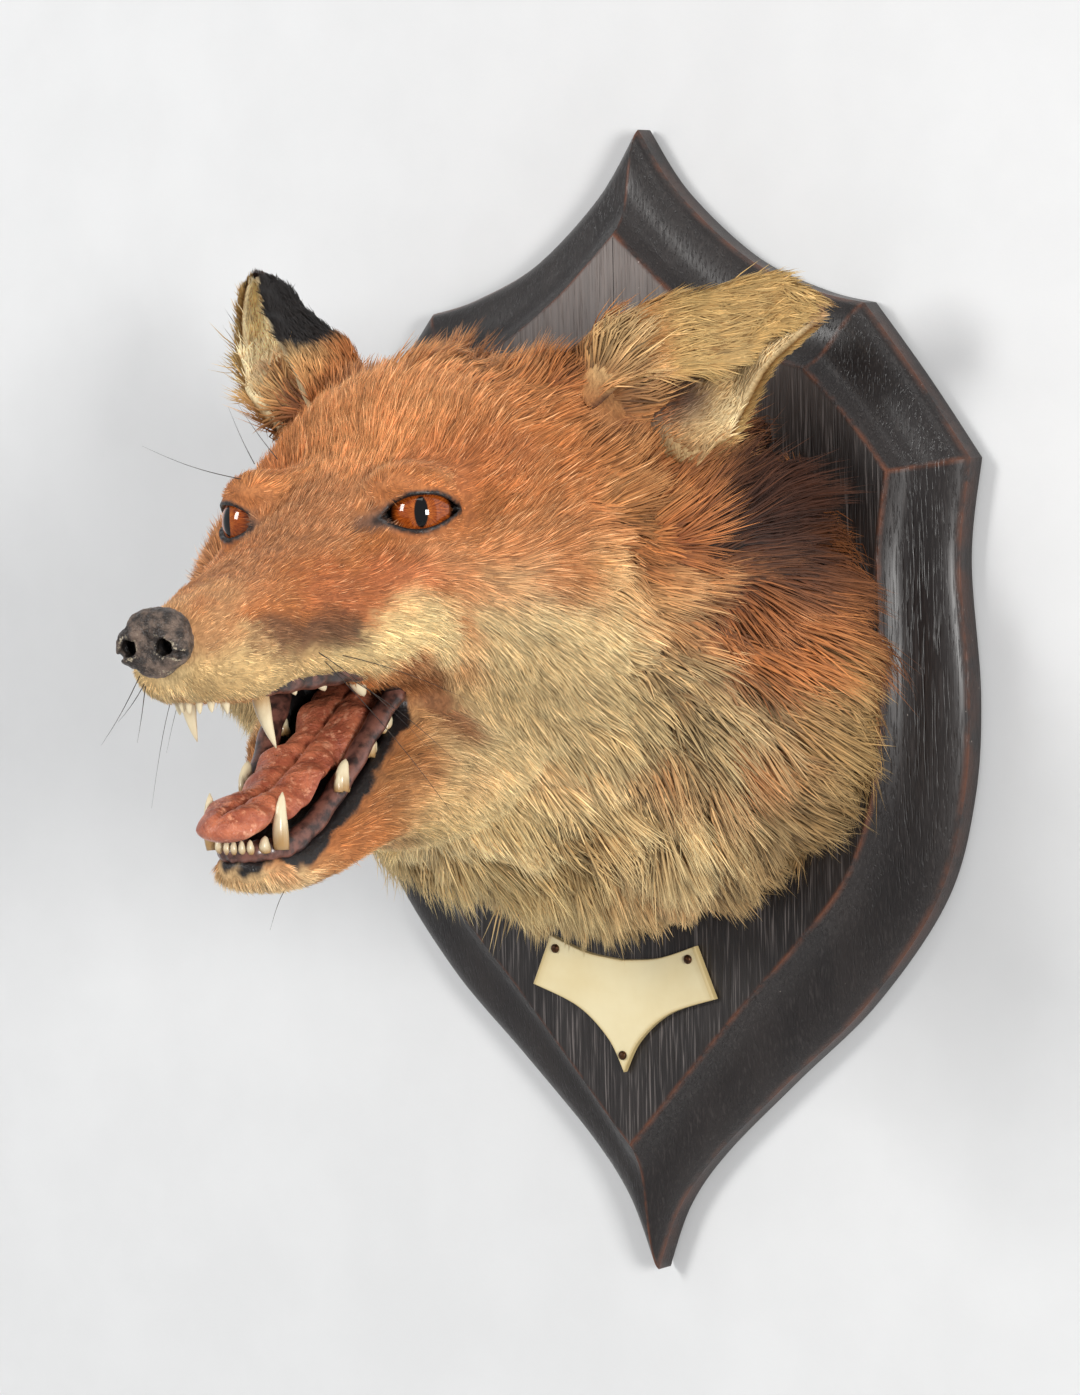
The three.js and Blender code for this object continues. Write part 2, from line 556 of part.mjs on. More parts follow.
function headPieces() {
  const half = GAP / 2;
  const wedge = jawBlock(half);
  const eyes = [EYE.at, mirror(EYE.at)];
  const bite = (arch, line, list, grow) => union([gum(arch, line, grow), ...teeth(list, grow)]);
  const upperCut = gum(UPPER_GUM, upperLine, GUM_ROOM);
  const lowerCut = gum(LOWER_GUM, lowerLine, GUM_ROOM);
  const licker = tongue(GAP);
  let face = fleshStretch(HEAD_BACK, MUZZLE_BACK, 116, [-140, 86], CELL.head)
    .intersect(inFrontOf(HEAD_BACK, -half)).intersect(behind(MUZZLE_BACK, -half)).subtract(wedge);
  for (const at of eyes) face = face.subtract(ball(at, [EYE_RADIUS, EYE_RADIUS, EYE_RADIUS], GAP));
  for (const side of [1, -1]) face = face.subtract(lidCut(side));
  const muzzle = fleshStretch(MUZZLE_BACK, SKULL_END.front, 46, [-104, 30], CELL.muzzle)
    .intersect(inFrontOf(MUZZLE_BACK, -half)).subtract(wedge);
  const jaw = fleshStretch(JAW_END.back, JAW_END.front, 90, [-124, 60], CELL.jaw)
    .intersect(jawBlock(-half));
  const around = (s, f, u) => Math.max(fleshField(s, f, u) - 3 * GAP, EAR_REACH - f);
  const skin = solid(netMesh(around, [-112, EAR_REACH - 12, -146], [112, 92, 78], CELL.skin));
  const parts = {
    head: face.subtract(upperCut).subtract(licker),
    muzzle: muzzle.subtract(nose(GAP)).subtract(upperCut).subtract(licker),
    lower_jaw: jaw.subtract(lowerCut).subtract(licker),
    nose: nose(0),
    tongue: tongue(0).subtract(bite(LOWER_GUM, lowerLine, LOWER_TEETH, GAP)),
    upper_teeth: bite(UPPER_GUM, upperLine, UPPER_TEETH, 0).subtract(licker),
    lower_teeth: bite(LOWER_GUM, lowerLine, LOWER_TEETH, 0),
  };
  for (const [name, sizes] of Object.entries(EARS)) parts[name] = ear(sizes).subtract(skin);
  const [left, right] = eyes.map((at) => ball(at, [EYE_RADIUS, EYE_RADIUS, EYE_RADIUS]));
  return { ...parts, eye_left: left, eye_right: right };
}

function neck() {
  const point = new THREE.Vector3();
  const margin = 2 * CELL.neck;
  const field = (x, y, z) => {
    point.set(x, y, z).applyMatrix4(toHead);
    return Math.max(fleshField(point.x, point.y, point.z), y, point.y - HEAD_BACK - margin);
  };
  const whole = solid(netMesh(field, [-104, -128, -96], [112, 20, 120], CELL.neck));
  const shieldSide = new THREE.BoxGeometry(BIG, BIG, BIG);
  shieldSide.translate(0, BIG / 2 - SHIELD_THICKNESS - GAP, 0);
  const headSide = halfSpace([HEAD_BACK, 0], [-1, 0], GAP / 2).applyMatrix4(frame);
  return whole.subtract(solid(shieldSide)).subtract(solid(headSide));
}

// ---- assembly ----
const FINISHES = {
  ebonised_oak: { color: 0x1d1a19, roughness: 0.45 },
  ivorine: { color: 0xe9dcb4, roughness: 0.4 },
  pin_brass: { color: 0x6b5238, roughness: 0.5 },
  fur_ruff: { color: 0xb98c4c, roughness: 0.95 },
  fur_face: { color: 0xb7672f, roughness: 0.95 },
  fur_jaw: { color: 0xb08243, roughness: 0.95 },
  fur_ear: { color: 0xa98a4a, roughness: 0.95 },
  eye_glass: { color: 0x7a3208, roughness: 0.05 },
  nose_leather: { color: 0x2a2422, roughness: 0.5 },
  tongue_plaster: { color: 0xa2482d, roughness: 0.4 },
  ivory_teeth: { color: 0xe2d3b0, roughness: 0.35 },
};

const group = new THREE.Group();

function place(name, body, finish, inHead = false) {
  const geometry = geometryOf(body);
  if (inHead) geometry.applyMatrix4(frame);
  const shaped = geometry.toNonIndexed();
  if (inHead) flipFaces(shaped);
  shaped.computeVertexNormals();
  const material = new THREE.MeshStandardMaterial({ name: finish, ...FINISHES[finish] });
  const mesh = new THREE.Mesh(shaped, material);
  mesh.name = name;
  group.add(mesh);
}

// The head frame is left-handed, so its faces turn over when they reach the wall's frame.
function flipFaces(geometry) {
  const { array } = geometry.getAttribute("position");
  for (let i = 0; i < array.length; i += 9)
    for (let k = 0; k < 3; k += 1) [array[i + k], array[i + 3 + k]] = [array[i + 3 + k], array[i + k]];
}

const FACE_FINISH = {
  head: "fur_face", muzzle: "fur_face", lower_jaw: "fur_jaw", ear_left: "fur_ear", ear_right: "fur_ear",
  eye_left: "eye_glass", eye_right: "eye_glass", nose: "nose_leather", tongue: "tongue_plaster",
  upper_teeth: "ivory_teeth", lower_teeth: "ivory_teeth",
};

place("shield_board", shield(), "ebonised_oak");
place("name_plate", plate(), "ivorine");
PLATE.pins.forEach(([x, z], i) => place(`plate_pin_${i + 1}`, pin(x, z), "pin_brass"));
place("neck", neck(), "fur_ruff");
for (const [name, body] of Object.entries(headPieces())) place(name, body, FACE_FINISH[name], true);

export default group;
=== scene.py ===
"""Looks of a mounted fox head on a wall shield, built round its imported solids."""
import logging
import math
from collections.abc import Callable, Sequence
from dataclasses import dataclass, field
from enum import Enum

import bpy
import numpy as np
from mathutils import Matrix, Vector
from mathutils.bvhtree import BVHTree
from mathutils.kdtree import KDTree


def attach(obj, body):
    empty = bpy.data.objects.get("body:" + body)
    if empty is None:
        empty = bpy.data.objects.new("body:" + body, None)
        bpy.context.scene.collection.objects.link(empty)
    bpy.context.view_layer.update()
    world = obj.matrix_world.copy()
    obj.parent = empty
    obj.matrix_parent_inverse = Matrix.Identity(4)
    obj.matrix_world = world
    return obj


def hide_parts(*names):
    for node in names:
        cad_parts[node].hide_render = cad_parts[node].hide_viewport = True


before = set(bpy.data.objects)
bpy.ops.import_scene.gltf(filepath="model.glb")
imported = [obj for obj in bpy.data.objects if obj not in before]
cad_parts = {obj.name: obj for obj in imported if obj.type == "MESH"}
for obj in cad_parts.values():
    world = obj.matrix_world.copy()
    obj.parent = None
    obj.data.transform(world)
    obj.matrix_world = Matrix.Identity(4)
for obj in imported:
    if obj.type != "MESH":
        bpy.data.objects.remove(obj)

log = logging.getLogger("fox_mount")

Point = tuple[float, float, float]
Colour = tuple[float, float, float]
Array = np.ndarray
Material = bpy.types.Material
Piece = bpy.types.Object
Socket = bpy.types.NodeSocket
MM = 0.001
ROOT_BODY = "root"
SHIELD_FACE = 18.0
GAP = 0.3
SEED = 7
BAKE_PATCH = 0.003
NOSE_AT: Point = (0, 77, -25.5)
NOSE_SIZE: Point = (9.8, 7.2, 8.8)


# ---------------------------------------------------------------- maths


def linear(red: int, green: int, blue: int) -> Colour:
    """Linear colour of an 8-bit screen colour."""
    screen = (red, green, blue)
    return tuple(((c / 255 + 0.055) / 1.055) ** 2.4 if c > 10 else c / 255 / 12.92 for c in screen)


def lerp(a: Array, b: Array, t: Array) -> Array:
    """Value a share t of the way from a to b."""
    return a + (b - a) * t


def smooth_step(low: float, high: float, x: Array) -> Array:
    """Smooth rise from 0 at low to 1 at high; falls instead where high is below low."""
    t = np.clip((x - low) / (high - low), 0, 1)
    return t * t * (3 - 2 * t)


def blend_min(a: Array, b: Array, width: float) -> Array:
    """Union of two fields, rounded over a width."""
    h = np.clip(0.5 + 0.5 * (b - a) / width, 0, 1)
    return lerp(b, a, h) - width * h * (1 - h)


def blend_max(a: Array, b: Array, width: float) -> Array:
    """Common part of two fields, rounded over a width."""
    return -blend_min(-a, -b, width)


def unit(v: Array) -> Array:
    """Vectors scaled to length one."""
    return v / np.maximum(np.linalg.norm(v, axis=-1, keepdims=True), 1e-9)


def mirrored(p: Array) -> Array:
    """Points with their side taken positive."""
    return np.column_stack([np.abs(p[:, 0]), p[:, 1:]])


def by_knots(x: Array, knots: Sequence[tuple[float, float]]) -> Array:
    """Values at x, on straight lines between knots of a place and its value."""
    table = np.array(knots, float)
    return np.interp(x, table[:, 0], table[:, 1])


def capsule(p: Array, start: Sequence[float], end: Sequence[float]) -> Array:
    """Distance from each point to a straight segment.

    Args:
        p: Points, one per row.
        start: One end of the segment.
        end: The other end.

    Returns:
        The distances.
    """
    a, b = np.asarray(start, float), np.asarray(end, float)
    d = b - a
    t = np.clip((p - a) @ d / max(float(d @ d), 1e-9), 0, 1)
    return np.linalg.norm(p - a - t[:, None] * d, axis=1)


def ellipsoid(p: Array, at: Sequence[float], size: Sequence[float]) -> Array:
    """Signed size of each point against an ellipsoid.

    Args:
        p: Points, one per row.
        at: The middle.
        size: The three radii.

    Returns:
        Values below zero inside, close to the distance near the surface.
    """
    q = (p - np.asarray(at)) / np.asarray(size)
    k0 = np.linalg.norm(q, axis=1)
    k1 = np.linalg.norm(q / np.asarray(size), axis=1)
    return k0 * (k0 - 1) / np.maximum(k1, 1e-6)


@dataclass(frozen=True)
class Ripple:
    """Smooth pseudo-random wave field made of a few crossed sines."""

    scale: float
    seed: int
    waves: int = 7

    def value(self, p: Array) -> Array:
        """Field value at each point, roughly from -1 to 1.

        Args:
            p: Points in millimetres, one per row.

        Returns:
            One value per point.
        """
        rng = np.random.default_rng(self.seed)
        total = np.zeros(len(p))
        for _ in range(self.waves):
            direction = unit(rng.normal(size=3))
            length = self.scale * rng.uniform(0.6, 1.6)
            total += np.sin(p @ direction * (2 * math.pi / length) + rng.uniform(0, 2 * math.pi))
        return total / math.sqrt(self.waves * 0.5) / 1.6

    def vectors(self, p: Array) -> Array:
        """Three independent fields as a vector per point."""
        return np.stack([Ripple(self.scale, self.seed + k * 101, self.waves).value(p) for k in range(3)], 1)


class StationTable:
    """Rows of sizes along an axis, smooth between rows."""

    def __init__(self, rows: Sequence[Sequence[float]], samples: int = 500) -> None:
        """Samples the rows finely.

        Args:
            rows: Each row is a place on the axis followed by its sizes.
            samples: How many finely spaced places to keep.
        """
        table = np.array(rows, float)
        x = np.linspace(table[0, 0], table[-1, 0], samples)
        last = len(table) - 1
        i = np.clip(np.searchsorted(table[:, 0], x, side="left") - 1, 0, last - 1)
        p, q = table[i], table[i + 1]
        o, r = table[np.maximum(i - 1, 0)], table[np.minimum(i + 2, last)]
        step = q[:, :1] - p[:, :1]
        t = (x[:, None] - p[:, :1]) / step
        m0 = (q - o) / (q[:, :1] - o[:, :1]) * step
        m1 = (r - p) / (r[:, :1] - p[:, :1]) * step
        t2, t3 = t * t, t * t * t
        self.x = x
        self.values = (p * (2 * t3 - 3 * t2 + 1) + m0 * (t3 - 2 * t2 + t)
                       + q * (3 * t2 - 2 * t3) + m1 * (t3 - t2))

    def at(self, x: Array) -> list[Array]:
        """Sizes at each place.

        Args:
            x: Places on the axis.

        Returns:
            One array per size column.
        """
        return [np.interp(x, self.x, self.values[:, k]) for k in range(1, self.values.shape[1])]


def section(
    side: Array, up: Array, half: Array, top: Array, bottom: Array, n: Array, pear: Array | float = 0,
) -> Array:
    """Signed size of points against an oval section.

    Args:
        side: Distance to the side.
        up: Height.
        half: Half width of the oval.
        top: Its top.
        bottom: Its bottom.
        n: Squareness.
        pear: How much its top narrows.

    Returns:
        Values below zero inside.
    """
    middle, tall = (top + bottom) / 2, (top - bottom) / 2
    v = (up - middle) / tall
    w = half * (1 - pear * np.clip(v, -1.2, 1.2))
    reach = (np.abs(side / w) ** n + np.abs(v) ** n) ** (1 / n)
    return (reach - 1) * np.minimum(w, tall)


@dataclass(frozen=True)
class HeadFrame:
    """The fox's own axes: side to its left, forward, up, in millimetres."""

    origin: Point = (2.9, -140.1, 55.3)
    yaw: float = 10.0
    roll: float = 2.4

    def axes(self) -> Array:
        """Rows are the side, forward and up axes in the wall's frame."""
        y, r = math.radians(self.yaw), math.radians(-self.roll)
        turn = np.array([[math.cos(y), -math.sin(y), 0], [math.sin(y), math.cos(y), 0], [0, 0, 1.0]])
        lean = np.array([[math.cos(r), 0, math.sin(r)], [0, 1.0, 0], [-math.sin(r), 0, math.cos(r)]])
        columns = turn @ lean
        return np.stack([columns[:, 0], -columns[:, 1], columns[:, 2]])

    def to_wall(self, p: Array) -> Array:
        """Points in the wall's frame."""
        return np.asarray(self.origin) + np.asarray(p, float) @ self.axes()

    def to_head(self, w: Array) -> Array:
        """Points of the wall's frame in the head's axes."""
        return (np.asarray(w, float) - np.asarray(self.origin)) @ self.axes().T

    def turn_to_wall(self, v: Array) -> Array:
        """Directions in the wall's frame."""
        return np.asarray(v, float) @ self.axes()


HEAD = HeadFrame()


# ---------------------------------------------------------------- flesh


@dataclass(frozen=True)
class Lump:
    """A rounded mass on both sides of the head."""

    at: Point
    size: Point
    blend: float


@dataclass(frozen=True)
class EyeSocket:
    """Where an eye sits and how its lids open; the left one, mirrored for the right."""

    middle: Point = (23.4, -6.4, 0.0)
    gaze: Point = (0.5, 0.865, 0.04)
    radius: float = 8.2
    lid: float = 1.5
    half_length: float = 9.4
    upper: float = 4.05
    lower: float = 4.0
    slant: float = -1.5

    def axes(self) -> Array:
        """Rows run along the opening towards the nose, across it upwards, and along the gaze."""
        g = unit(np.array(self.gaze))
        along = unit(np.cross([0, 0, 1.0], g))
        up = np.cross(g, along)
        a = math.radians(-self.slant)
        return np.stack([along * math.cos(a) + up * math.sin(a), up * math.cos(a) - along * math.sin(a), g])

    def local(self, p: Array) -> Array:
        """Points of the mirrored head in the eye's own axes."""
        return (p - np.array(self.middle)) @ self.axes().T

    def opening(self, q: Array) -> Array:
        """Distance from the almond edge of the lids, below zero inside it.

        Args:
            q: Points in the eye's own axes.

        Returns:
            One distance per point.
        """
        t = np.clip(np.abs(q[:, 0]) / self.half_length, 0, 1.6)
        lean = 0.12 * q[:, 0]
        arch = np.maximum(1 - t**2.0, -0.8)
        flat = np.maximum(1 - t**2.6, -0.8)
        top = q[:, 1] - self.upper * flat + lean * 0.6
        bottom = -q[:, 1] - self.lower * arch - lean * 0.6
        return blend_max(top, bottom, 0.5) * 0.86


@dataclass
class Flesh:
    """Signed field of the head and neck out to the coat's tips, in the head's axes."""

    neck_rows: tuple = (
        (18, 4, 12, 72, 69), (26, 5, 12, 82, 76), (38, 4, 13, 85, 77), (52, 0, 16, 80, 74),
        (68, -5, 21, 68, 69), (84, -7, 26, 60, 66), (100, -7, 29, 54, 61), (118, -4, 33, 48, 54),
    )
    skull_rows: tuple = (
        (-92, 47, 35, -62, 2.2, 0.12), (-78, 56, 40, -64, 2.2, 0.16), (-60, 58, 39, -64, 2.1, 0.2),
        (-42, 54, 31.5, -63, 2.1, 0.22), (-26, 46, 23.5, -60, 2.1, 0.22), (-12, 39, 15.5, -52, 2.1, 0.22),
        (0, 34, 8, -46, 2.2, 0.24), (12, 28.5, 1.6, -43, 2.4, 0.26), (25, 23.5, -4, -39.5, 2.8, 0.24),
        (40, 19.2, -8.4, -39.6, 2.9, 0.22), (52, 16.6, -11.4, -40.4, 2.8, 0.2),
        (62, 14.2, -14.6, -41, 2.5, 0.18), (75, 11, -18.4, -38, 2.2, 0.1),
    )
    jaw_rows: tuple = (
        (-34, 44, -30, -84, 2.2), (-18, 38, -36, -84, 2.2), (-4, 31, -42, -81.5, 2.2),
        (8, 25, -52, -83, 2.2), (18, 20.5, -62, -85.5, 2.3), (28, 17, -70, -87.4, 2.3),
        (39, 13.8, -74.6, -87.4, 2.4), (50, 8.4, -75.6, -84, 2.4),
    )
    lumps: dict[str, Lump] = field(default_factory=lambda: {
        "brow": Lump((21, -7, 7), (10.5, 13, 7), 8),
        "cheekbone": Lump((27, -14, -13), (9, 22, 9), 10),
        "cheek_ruff": Lump((42, -40, -24), (19, 26, 27), 16),
        "lip_pad": Lump((9.5, 55, -31), (8, 13, 9), 5),
        "ear_root": Lump((45, -76, 29), (17, 20, 19), 12),
        "ear_bridge": Lump((32, -69, 31), (12, 13, 9.5), 9),
    })
    skull_ends: tuple[float, float, float] = (75, -96, 8)
    jaw_ends: tuple[float, float, float] = (50, -30, 7)
    neck_front: float = 118
    mouth_back: Point = (0, -20, -44)
    mouth_front: Point = (0, 34, -54)
    mouth_radii: tuple[float, float] = (9, 19)
    jaw_blend: float = 7
    neck_blend: float = 14

    def __post_init__(self) -> None:
        """Prepares the station tables."""
        self.skull = StationTable(self.skull_rows)
        self.jaw = StationTable(self.jaw_rows)
        self.neck = StationTable(self.neck_rows)

    def skull_field(self, p: Array) -> Array:
        """Field of the upper head, for points with their side taken positive."""
        s, f, u = p.T
        half, top, bottom, n, pear = self.skull.at(f)
        front, back, rounding = self.skull_ends
        d = section(s, u, half, top, bottom, n, pear)
        d = blend_max(blend_max(d, f - front, rounding), back - f, rounding)
        for lump in self.lumps.values():
            d = blend_min(d, ellipsoid(p, lump.at, lump.size), lump.blend)
        return d

    def jaw_field(self, p: Array) -> Array:
        """Field of the lower jaw."""
        s, f, u = p.T
        half, top, bottom, n = self.jaw.at(f)
        front, back, rounding = self.jaw_ends
        d = section(s, u, half, top, bottom, n)
        return blend_max(blend_max(d, f - front, rounding), back - f, rounding)

    def neck_field(self, wall: Array) -> Array:
        """Field of the neck and ruff, for points of the wall's frame."""
        x, y, z = wall.T
        cx, cz, half, tall = self.neck.at(-y)
        d = section(x - cx, z, half, cz + tall, cz - tall, 2.15)
        return blend_max(d, -y - self.neck_front, 20)

    def mouth_field(self, p: Array) -> Array:
        """Field of the hollow of the open mouth."""
        a, b = np.array(self.mouth_back), np.array(self.mouth_front)
        d = b - a
        t = np.clip((p - a) @ d / float(d @ d), 0, 1)
        return np.linalg.norm(p - a - t[:, None] * d, axis=1) - lerp(*self.mouth_radii, t)

    def value(self, p: Array) -> Array:
        """Field of the whole coat's outside.

        Args:
            p: Points in the head's axes, one per row.

        Returns:
            Values below zero inside.
        """
        q = mirrored(p)
        d = blend_min(self.skull_field(q), self.jaw_field(q), self.jaw_blend)
        d = blend_min(d, self.neck_field(HEAD.to_wall(p)), self.neck_blend)
        return blend_max(d, -self.mouth_field(q), 2)


@dataclass
class Skin:
    """The one skin under the coat, with lids, lips, palate and jaw trough."""

    flesh: Flesh
    socket: EyeSocket = field(default_factory=EyeSocket)
    coat_depth: tuple = (
        (-125, 11), (-98, 10.5), (-76, 8), (-52, 5), (-30, 3.2), (-10, 2.0), (10, 1.4), (40, 1.1), (80, 0.9),
    )
    cheek_depth: float = 2.4
    cheek_at: Point = (50, -42, -30)
    cheek_size: Point = (16, 26, 26)
    throat_depth: float = 2.6
    palate: tuple[Point, Point] = ((0, 26, -42.5), (10.2, 34, 5.5))
    trough: tuple[tuple[float, ...], ...] = (
        (-6, 15, -44), (8, 14, -54.5), (18, 12.2, -64), (28, 10.6, -71), (39, 8.4, -74.8), (50, 5, -76),
    )
    philtrum: tuple[Point, Point, float] = ((0, 80, -32), (0, 76, -42), 1.1)

    def __post_init__(self) -> None:
        """Prepares the tables."""
        self.trough_table = StationTable(self.trough)

    def depth(self, p: Array) -> Array:
        """How far the skin lies under the coat's tips, for mirrored points."""
        s, f, u = p.T
        d = by_knots(f, self.coat_depth)
        low = smooth_step(-8, -45, f)
        cheek = (p - np.array(self.cheek_at)) / np.array(self.cheek_size)
        d = d + self.cheek_depth * np.exp(-(cheek**2).sum(1))
        return d + self.throat_depth * smooth_step(-50, -72, u) * low

    def value(self, p: Array) -> Array:
        """Field of the skin.

        Args:
            p: Points in the head's axes, one per row.

        Returns:
            Values below zero inside.
        """
        q = mirrored(p)
        wall = HEAD.to_wall(p)
        d = self.flesh.value(p) + self.depth(q)
        d = self.open_mouth(d, q)
        d = self.open_lids(d, q)
        groove = capsule(q, *self.philtrum[:2]) - self.philtrum[2]
        d = blend_max(d, -groove, 0.8)
        for ear in EARS:
            d = blend_max(d, ear.reach - np.linalg.norm(p - np.array(ear.hollow), axis=1), 2.5)
        return np.maximum(d, wall[:, 1] + SHIELD_FACE + GAP)

    def open_mouth(self, d: Array, q: Array) -> Array:
        """Hollows the palate and the floor of the jaw out of the field."""
        s, f, u = q.T
        roof = ellipsoid(q, *self.palate)
        d = blend_max(d, -roof, 1.0)
        half, level = self.trough_table.at(f)
        dip = section(s, u, half, level + 9, level - 4.2, np.full_like(s, 2.6))
        dip = blend_max(blend_max(dip, f - 46.5, 2), -12 - f, 3)
        return blend_max(d, -dip, 1.2)

    def open_lids(self, d: Array, q: Array) -> Array:
        """Sinks the sockets, lays the lids over the eyes and opens them."""
        e = self.socket
        near = np.linalg.norm(q - np.array(e.middle), axis=1) < 26
        local = e.local(q[near])
        own = d[near]
        bowl = ellipsoid(local, (1.0, 0.2, e.radius + 5.4), (15.5, 9.2, 6.0))
        own = blend_max(own, -bowl, 4.5)
        ball = np.linalg.norm(local * np.array([1, 1.03, 1]), axis=1) - e.radius - e.lid
        own = blend_min(own, ball, 2.2)
        rim = ellipsoid(local, (10.6, -1.0, 4.2), (4.6, 2.2, 2.4))
        own = blend_min(own, rim, 2.5)
        prism = np.maximum(e.opening(local), -local[:, 2] + 0.5)
        own = blend_max(own, -prism, 0.8)
        out = d.copy()
        out[near] = own
        return out


# ---------------------------------------------------------------- meshes


class NetMesher:
    """Turns a field into a mesh: one vertex per crossed cell, one quad per crossed edge."""

    CORNERS = np.array([[a & 1, (a >> 1) & 1, a >> 2] for a in range(8)])

    def __init__(self, value: Callable[[Array], Array], coarse: int = 4, reach: float = 9.0) -> None:
        """Keeps the field.

        Args:
            value: Field of points, one per row.
            coarse: How many cells a first look steps over.
            reach: Coarse values under this get a full look.
        """
        self.value = value
        self.coarse = coarse
        self.reach = reach

    def sample(self, axes: Sequence[Array]) -> Array:
        """Field on a rectilinear grid, exact near the surface.

        Args:
            axes: The three lists of grid places.

        Returns:
            A 3-D array of values.
        """
        picks = [np.unique(np.append(np.arange(0, len(a), self.coarse), len(a) - 1)) for a in axes]
        coarse_axes = [a[i] for a, i in zip(axes, picks)]
        grid = np.stack(np.meshgrid(*coarse_axes, indexing="ij"), -1).reshape(-1, 3)
        rough = self.value(grid).reshape([len(a) for a in coarse_axes])
        nearest = [np.abs(a[:, None] - c[None, :]).argmin(1) for a, c in zip(axes, coarse_axes)]
        values = rough[np.ix_(*nearest)]
        where = np.argwhere(np.abs(values) < self.reach)
        points = np.stack([axes[k][where[:, k]] for k in range(3)], 1)
        exact = np.concatenate([self.value(points[i:i + 400000]) for i in range(0, len(points), 400000)])
        values[tuple(where.T)] = exact
        return values

    def mesh(self, axes: Sequence[Array]) -> tuple[Array, Array]:
        """Vertices and quads of the surface.

        Args:
            axes: The three lists of grid places.

        Returns:
            Vertices, and quads facing out of the field.
        """
        values = self.sample(axes)
        inside = values < 0
        n = np.array(values.shape) - 1
        count = np.zeros(n, np.int8)
        for c in self.CORNERS:
            count += inside[c[0]:c[0] + n[0], c[1]:c[1] + n[1], c[2]:c[2] + n[2]]
        cells = np.argwhere((count > 0) & (count < 8))
        total = np.zeros((len(cells), 3))
        hits = np.zeros(len(cells))
        place = lambda idx: np.stack([axes[k][idx[:, k]] for k in range(3)], 1)
        for a in range(8):
            for bit in (1, 2, 4):
                if a & bit:
                    continue
                ia, ib = cells + self.CORNERS[a], cells + self.CORNERS[a | bit]
                va, vb = values[tuple(ia.T)], values[tuple(ib.T)]
                cut = (va < 0) != (vb < 0)
                t = np.where(cut, va / np.where(cut, va - vb, 1), 0)
                total += np.where(cut[:, None], place(ia) + t[:, None] * (place(ib) - place(ia)), 0)
                hits += cut
        vertices = total / hits[:, None]
        number = np.full(n, -1, np.int64)
        number[tuple(cells.T)] = np.arange(len(cells))
        quads = []
        for axis in range(3):
            b, c = (axis + 1) % 3, (axis + 2) % 3
            low = [slice(1, -1)] * 3
            low[axis] = slice(0, -1)
            high = list(low)
            high[axis] = slice(1, None)
            here, there = inside[tuple(low)], inside[tuple(high)]
            where = np.argwhere(here != there)
            start = here[tuple(where.T)]
            base = where + np.array([0 if k == axis else 1 for k in range(3)])
            ring = []
            for x, y in ((1, 1), (0, 1), (0, 0), (1, 0)):
                cell = base.copy()
                cell[:, b] -= x
                cell[:, c] -= y
                ring.append(number[tuple(cell.T)])
            quad = np.stack(ring, 1)
            quad[~start] = quad[~start][:, ::-1]
            quads.append(quad)
        return vertices, np.concatenate(quads)

    def settle(self, p: Array, steps: int = 2, most: float = 0.3) -> Array:
        """Moves points onto the surface along its slope."""
        for _ in range(steps):
            g = self.slope(p)
            size = np.maximum((g * g).sum(1), 0.05)
            move = -(self.value(p) / size)[:, None] * g
            length = np.linalg.norm(move, axis=1, keepdims=True)
            p = p + move * np.minimum(1, most / np.maximum(length, 1e-9))
        return p

    def slope(self, p: Array, step: float = 0.25) -> Array:
        """Slope of the field at each point."""
        out = np.empty_like(p)
        for k in range(3):
            d = np.zeros(3)
            d[k] = step
            out[:, k] = (self.value(p + d) - self.value(p - d)) / (2 * step)
        return out


def stepped(low: float, high: float, fine: tuple[float, float], small: float, large: float) -> Array:
    """Grid places from low to high, closer together between the two ends of fine."""
    before = np.linspace(low, fine[0], max(2, round((fine[0] - low) / large) + 1))[:-1]
    middle = np.linspace(fine[0], fine[1], round((fine[1] - fine[0]) / small) + 1)
    after = np.linspace(fine[1], high, max(2, round((high - fine[1]) / large) + 1))[1:]
    return np.concatenate([before, middle, after])


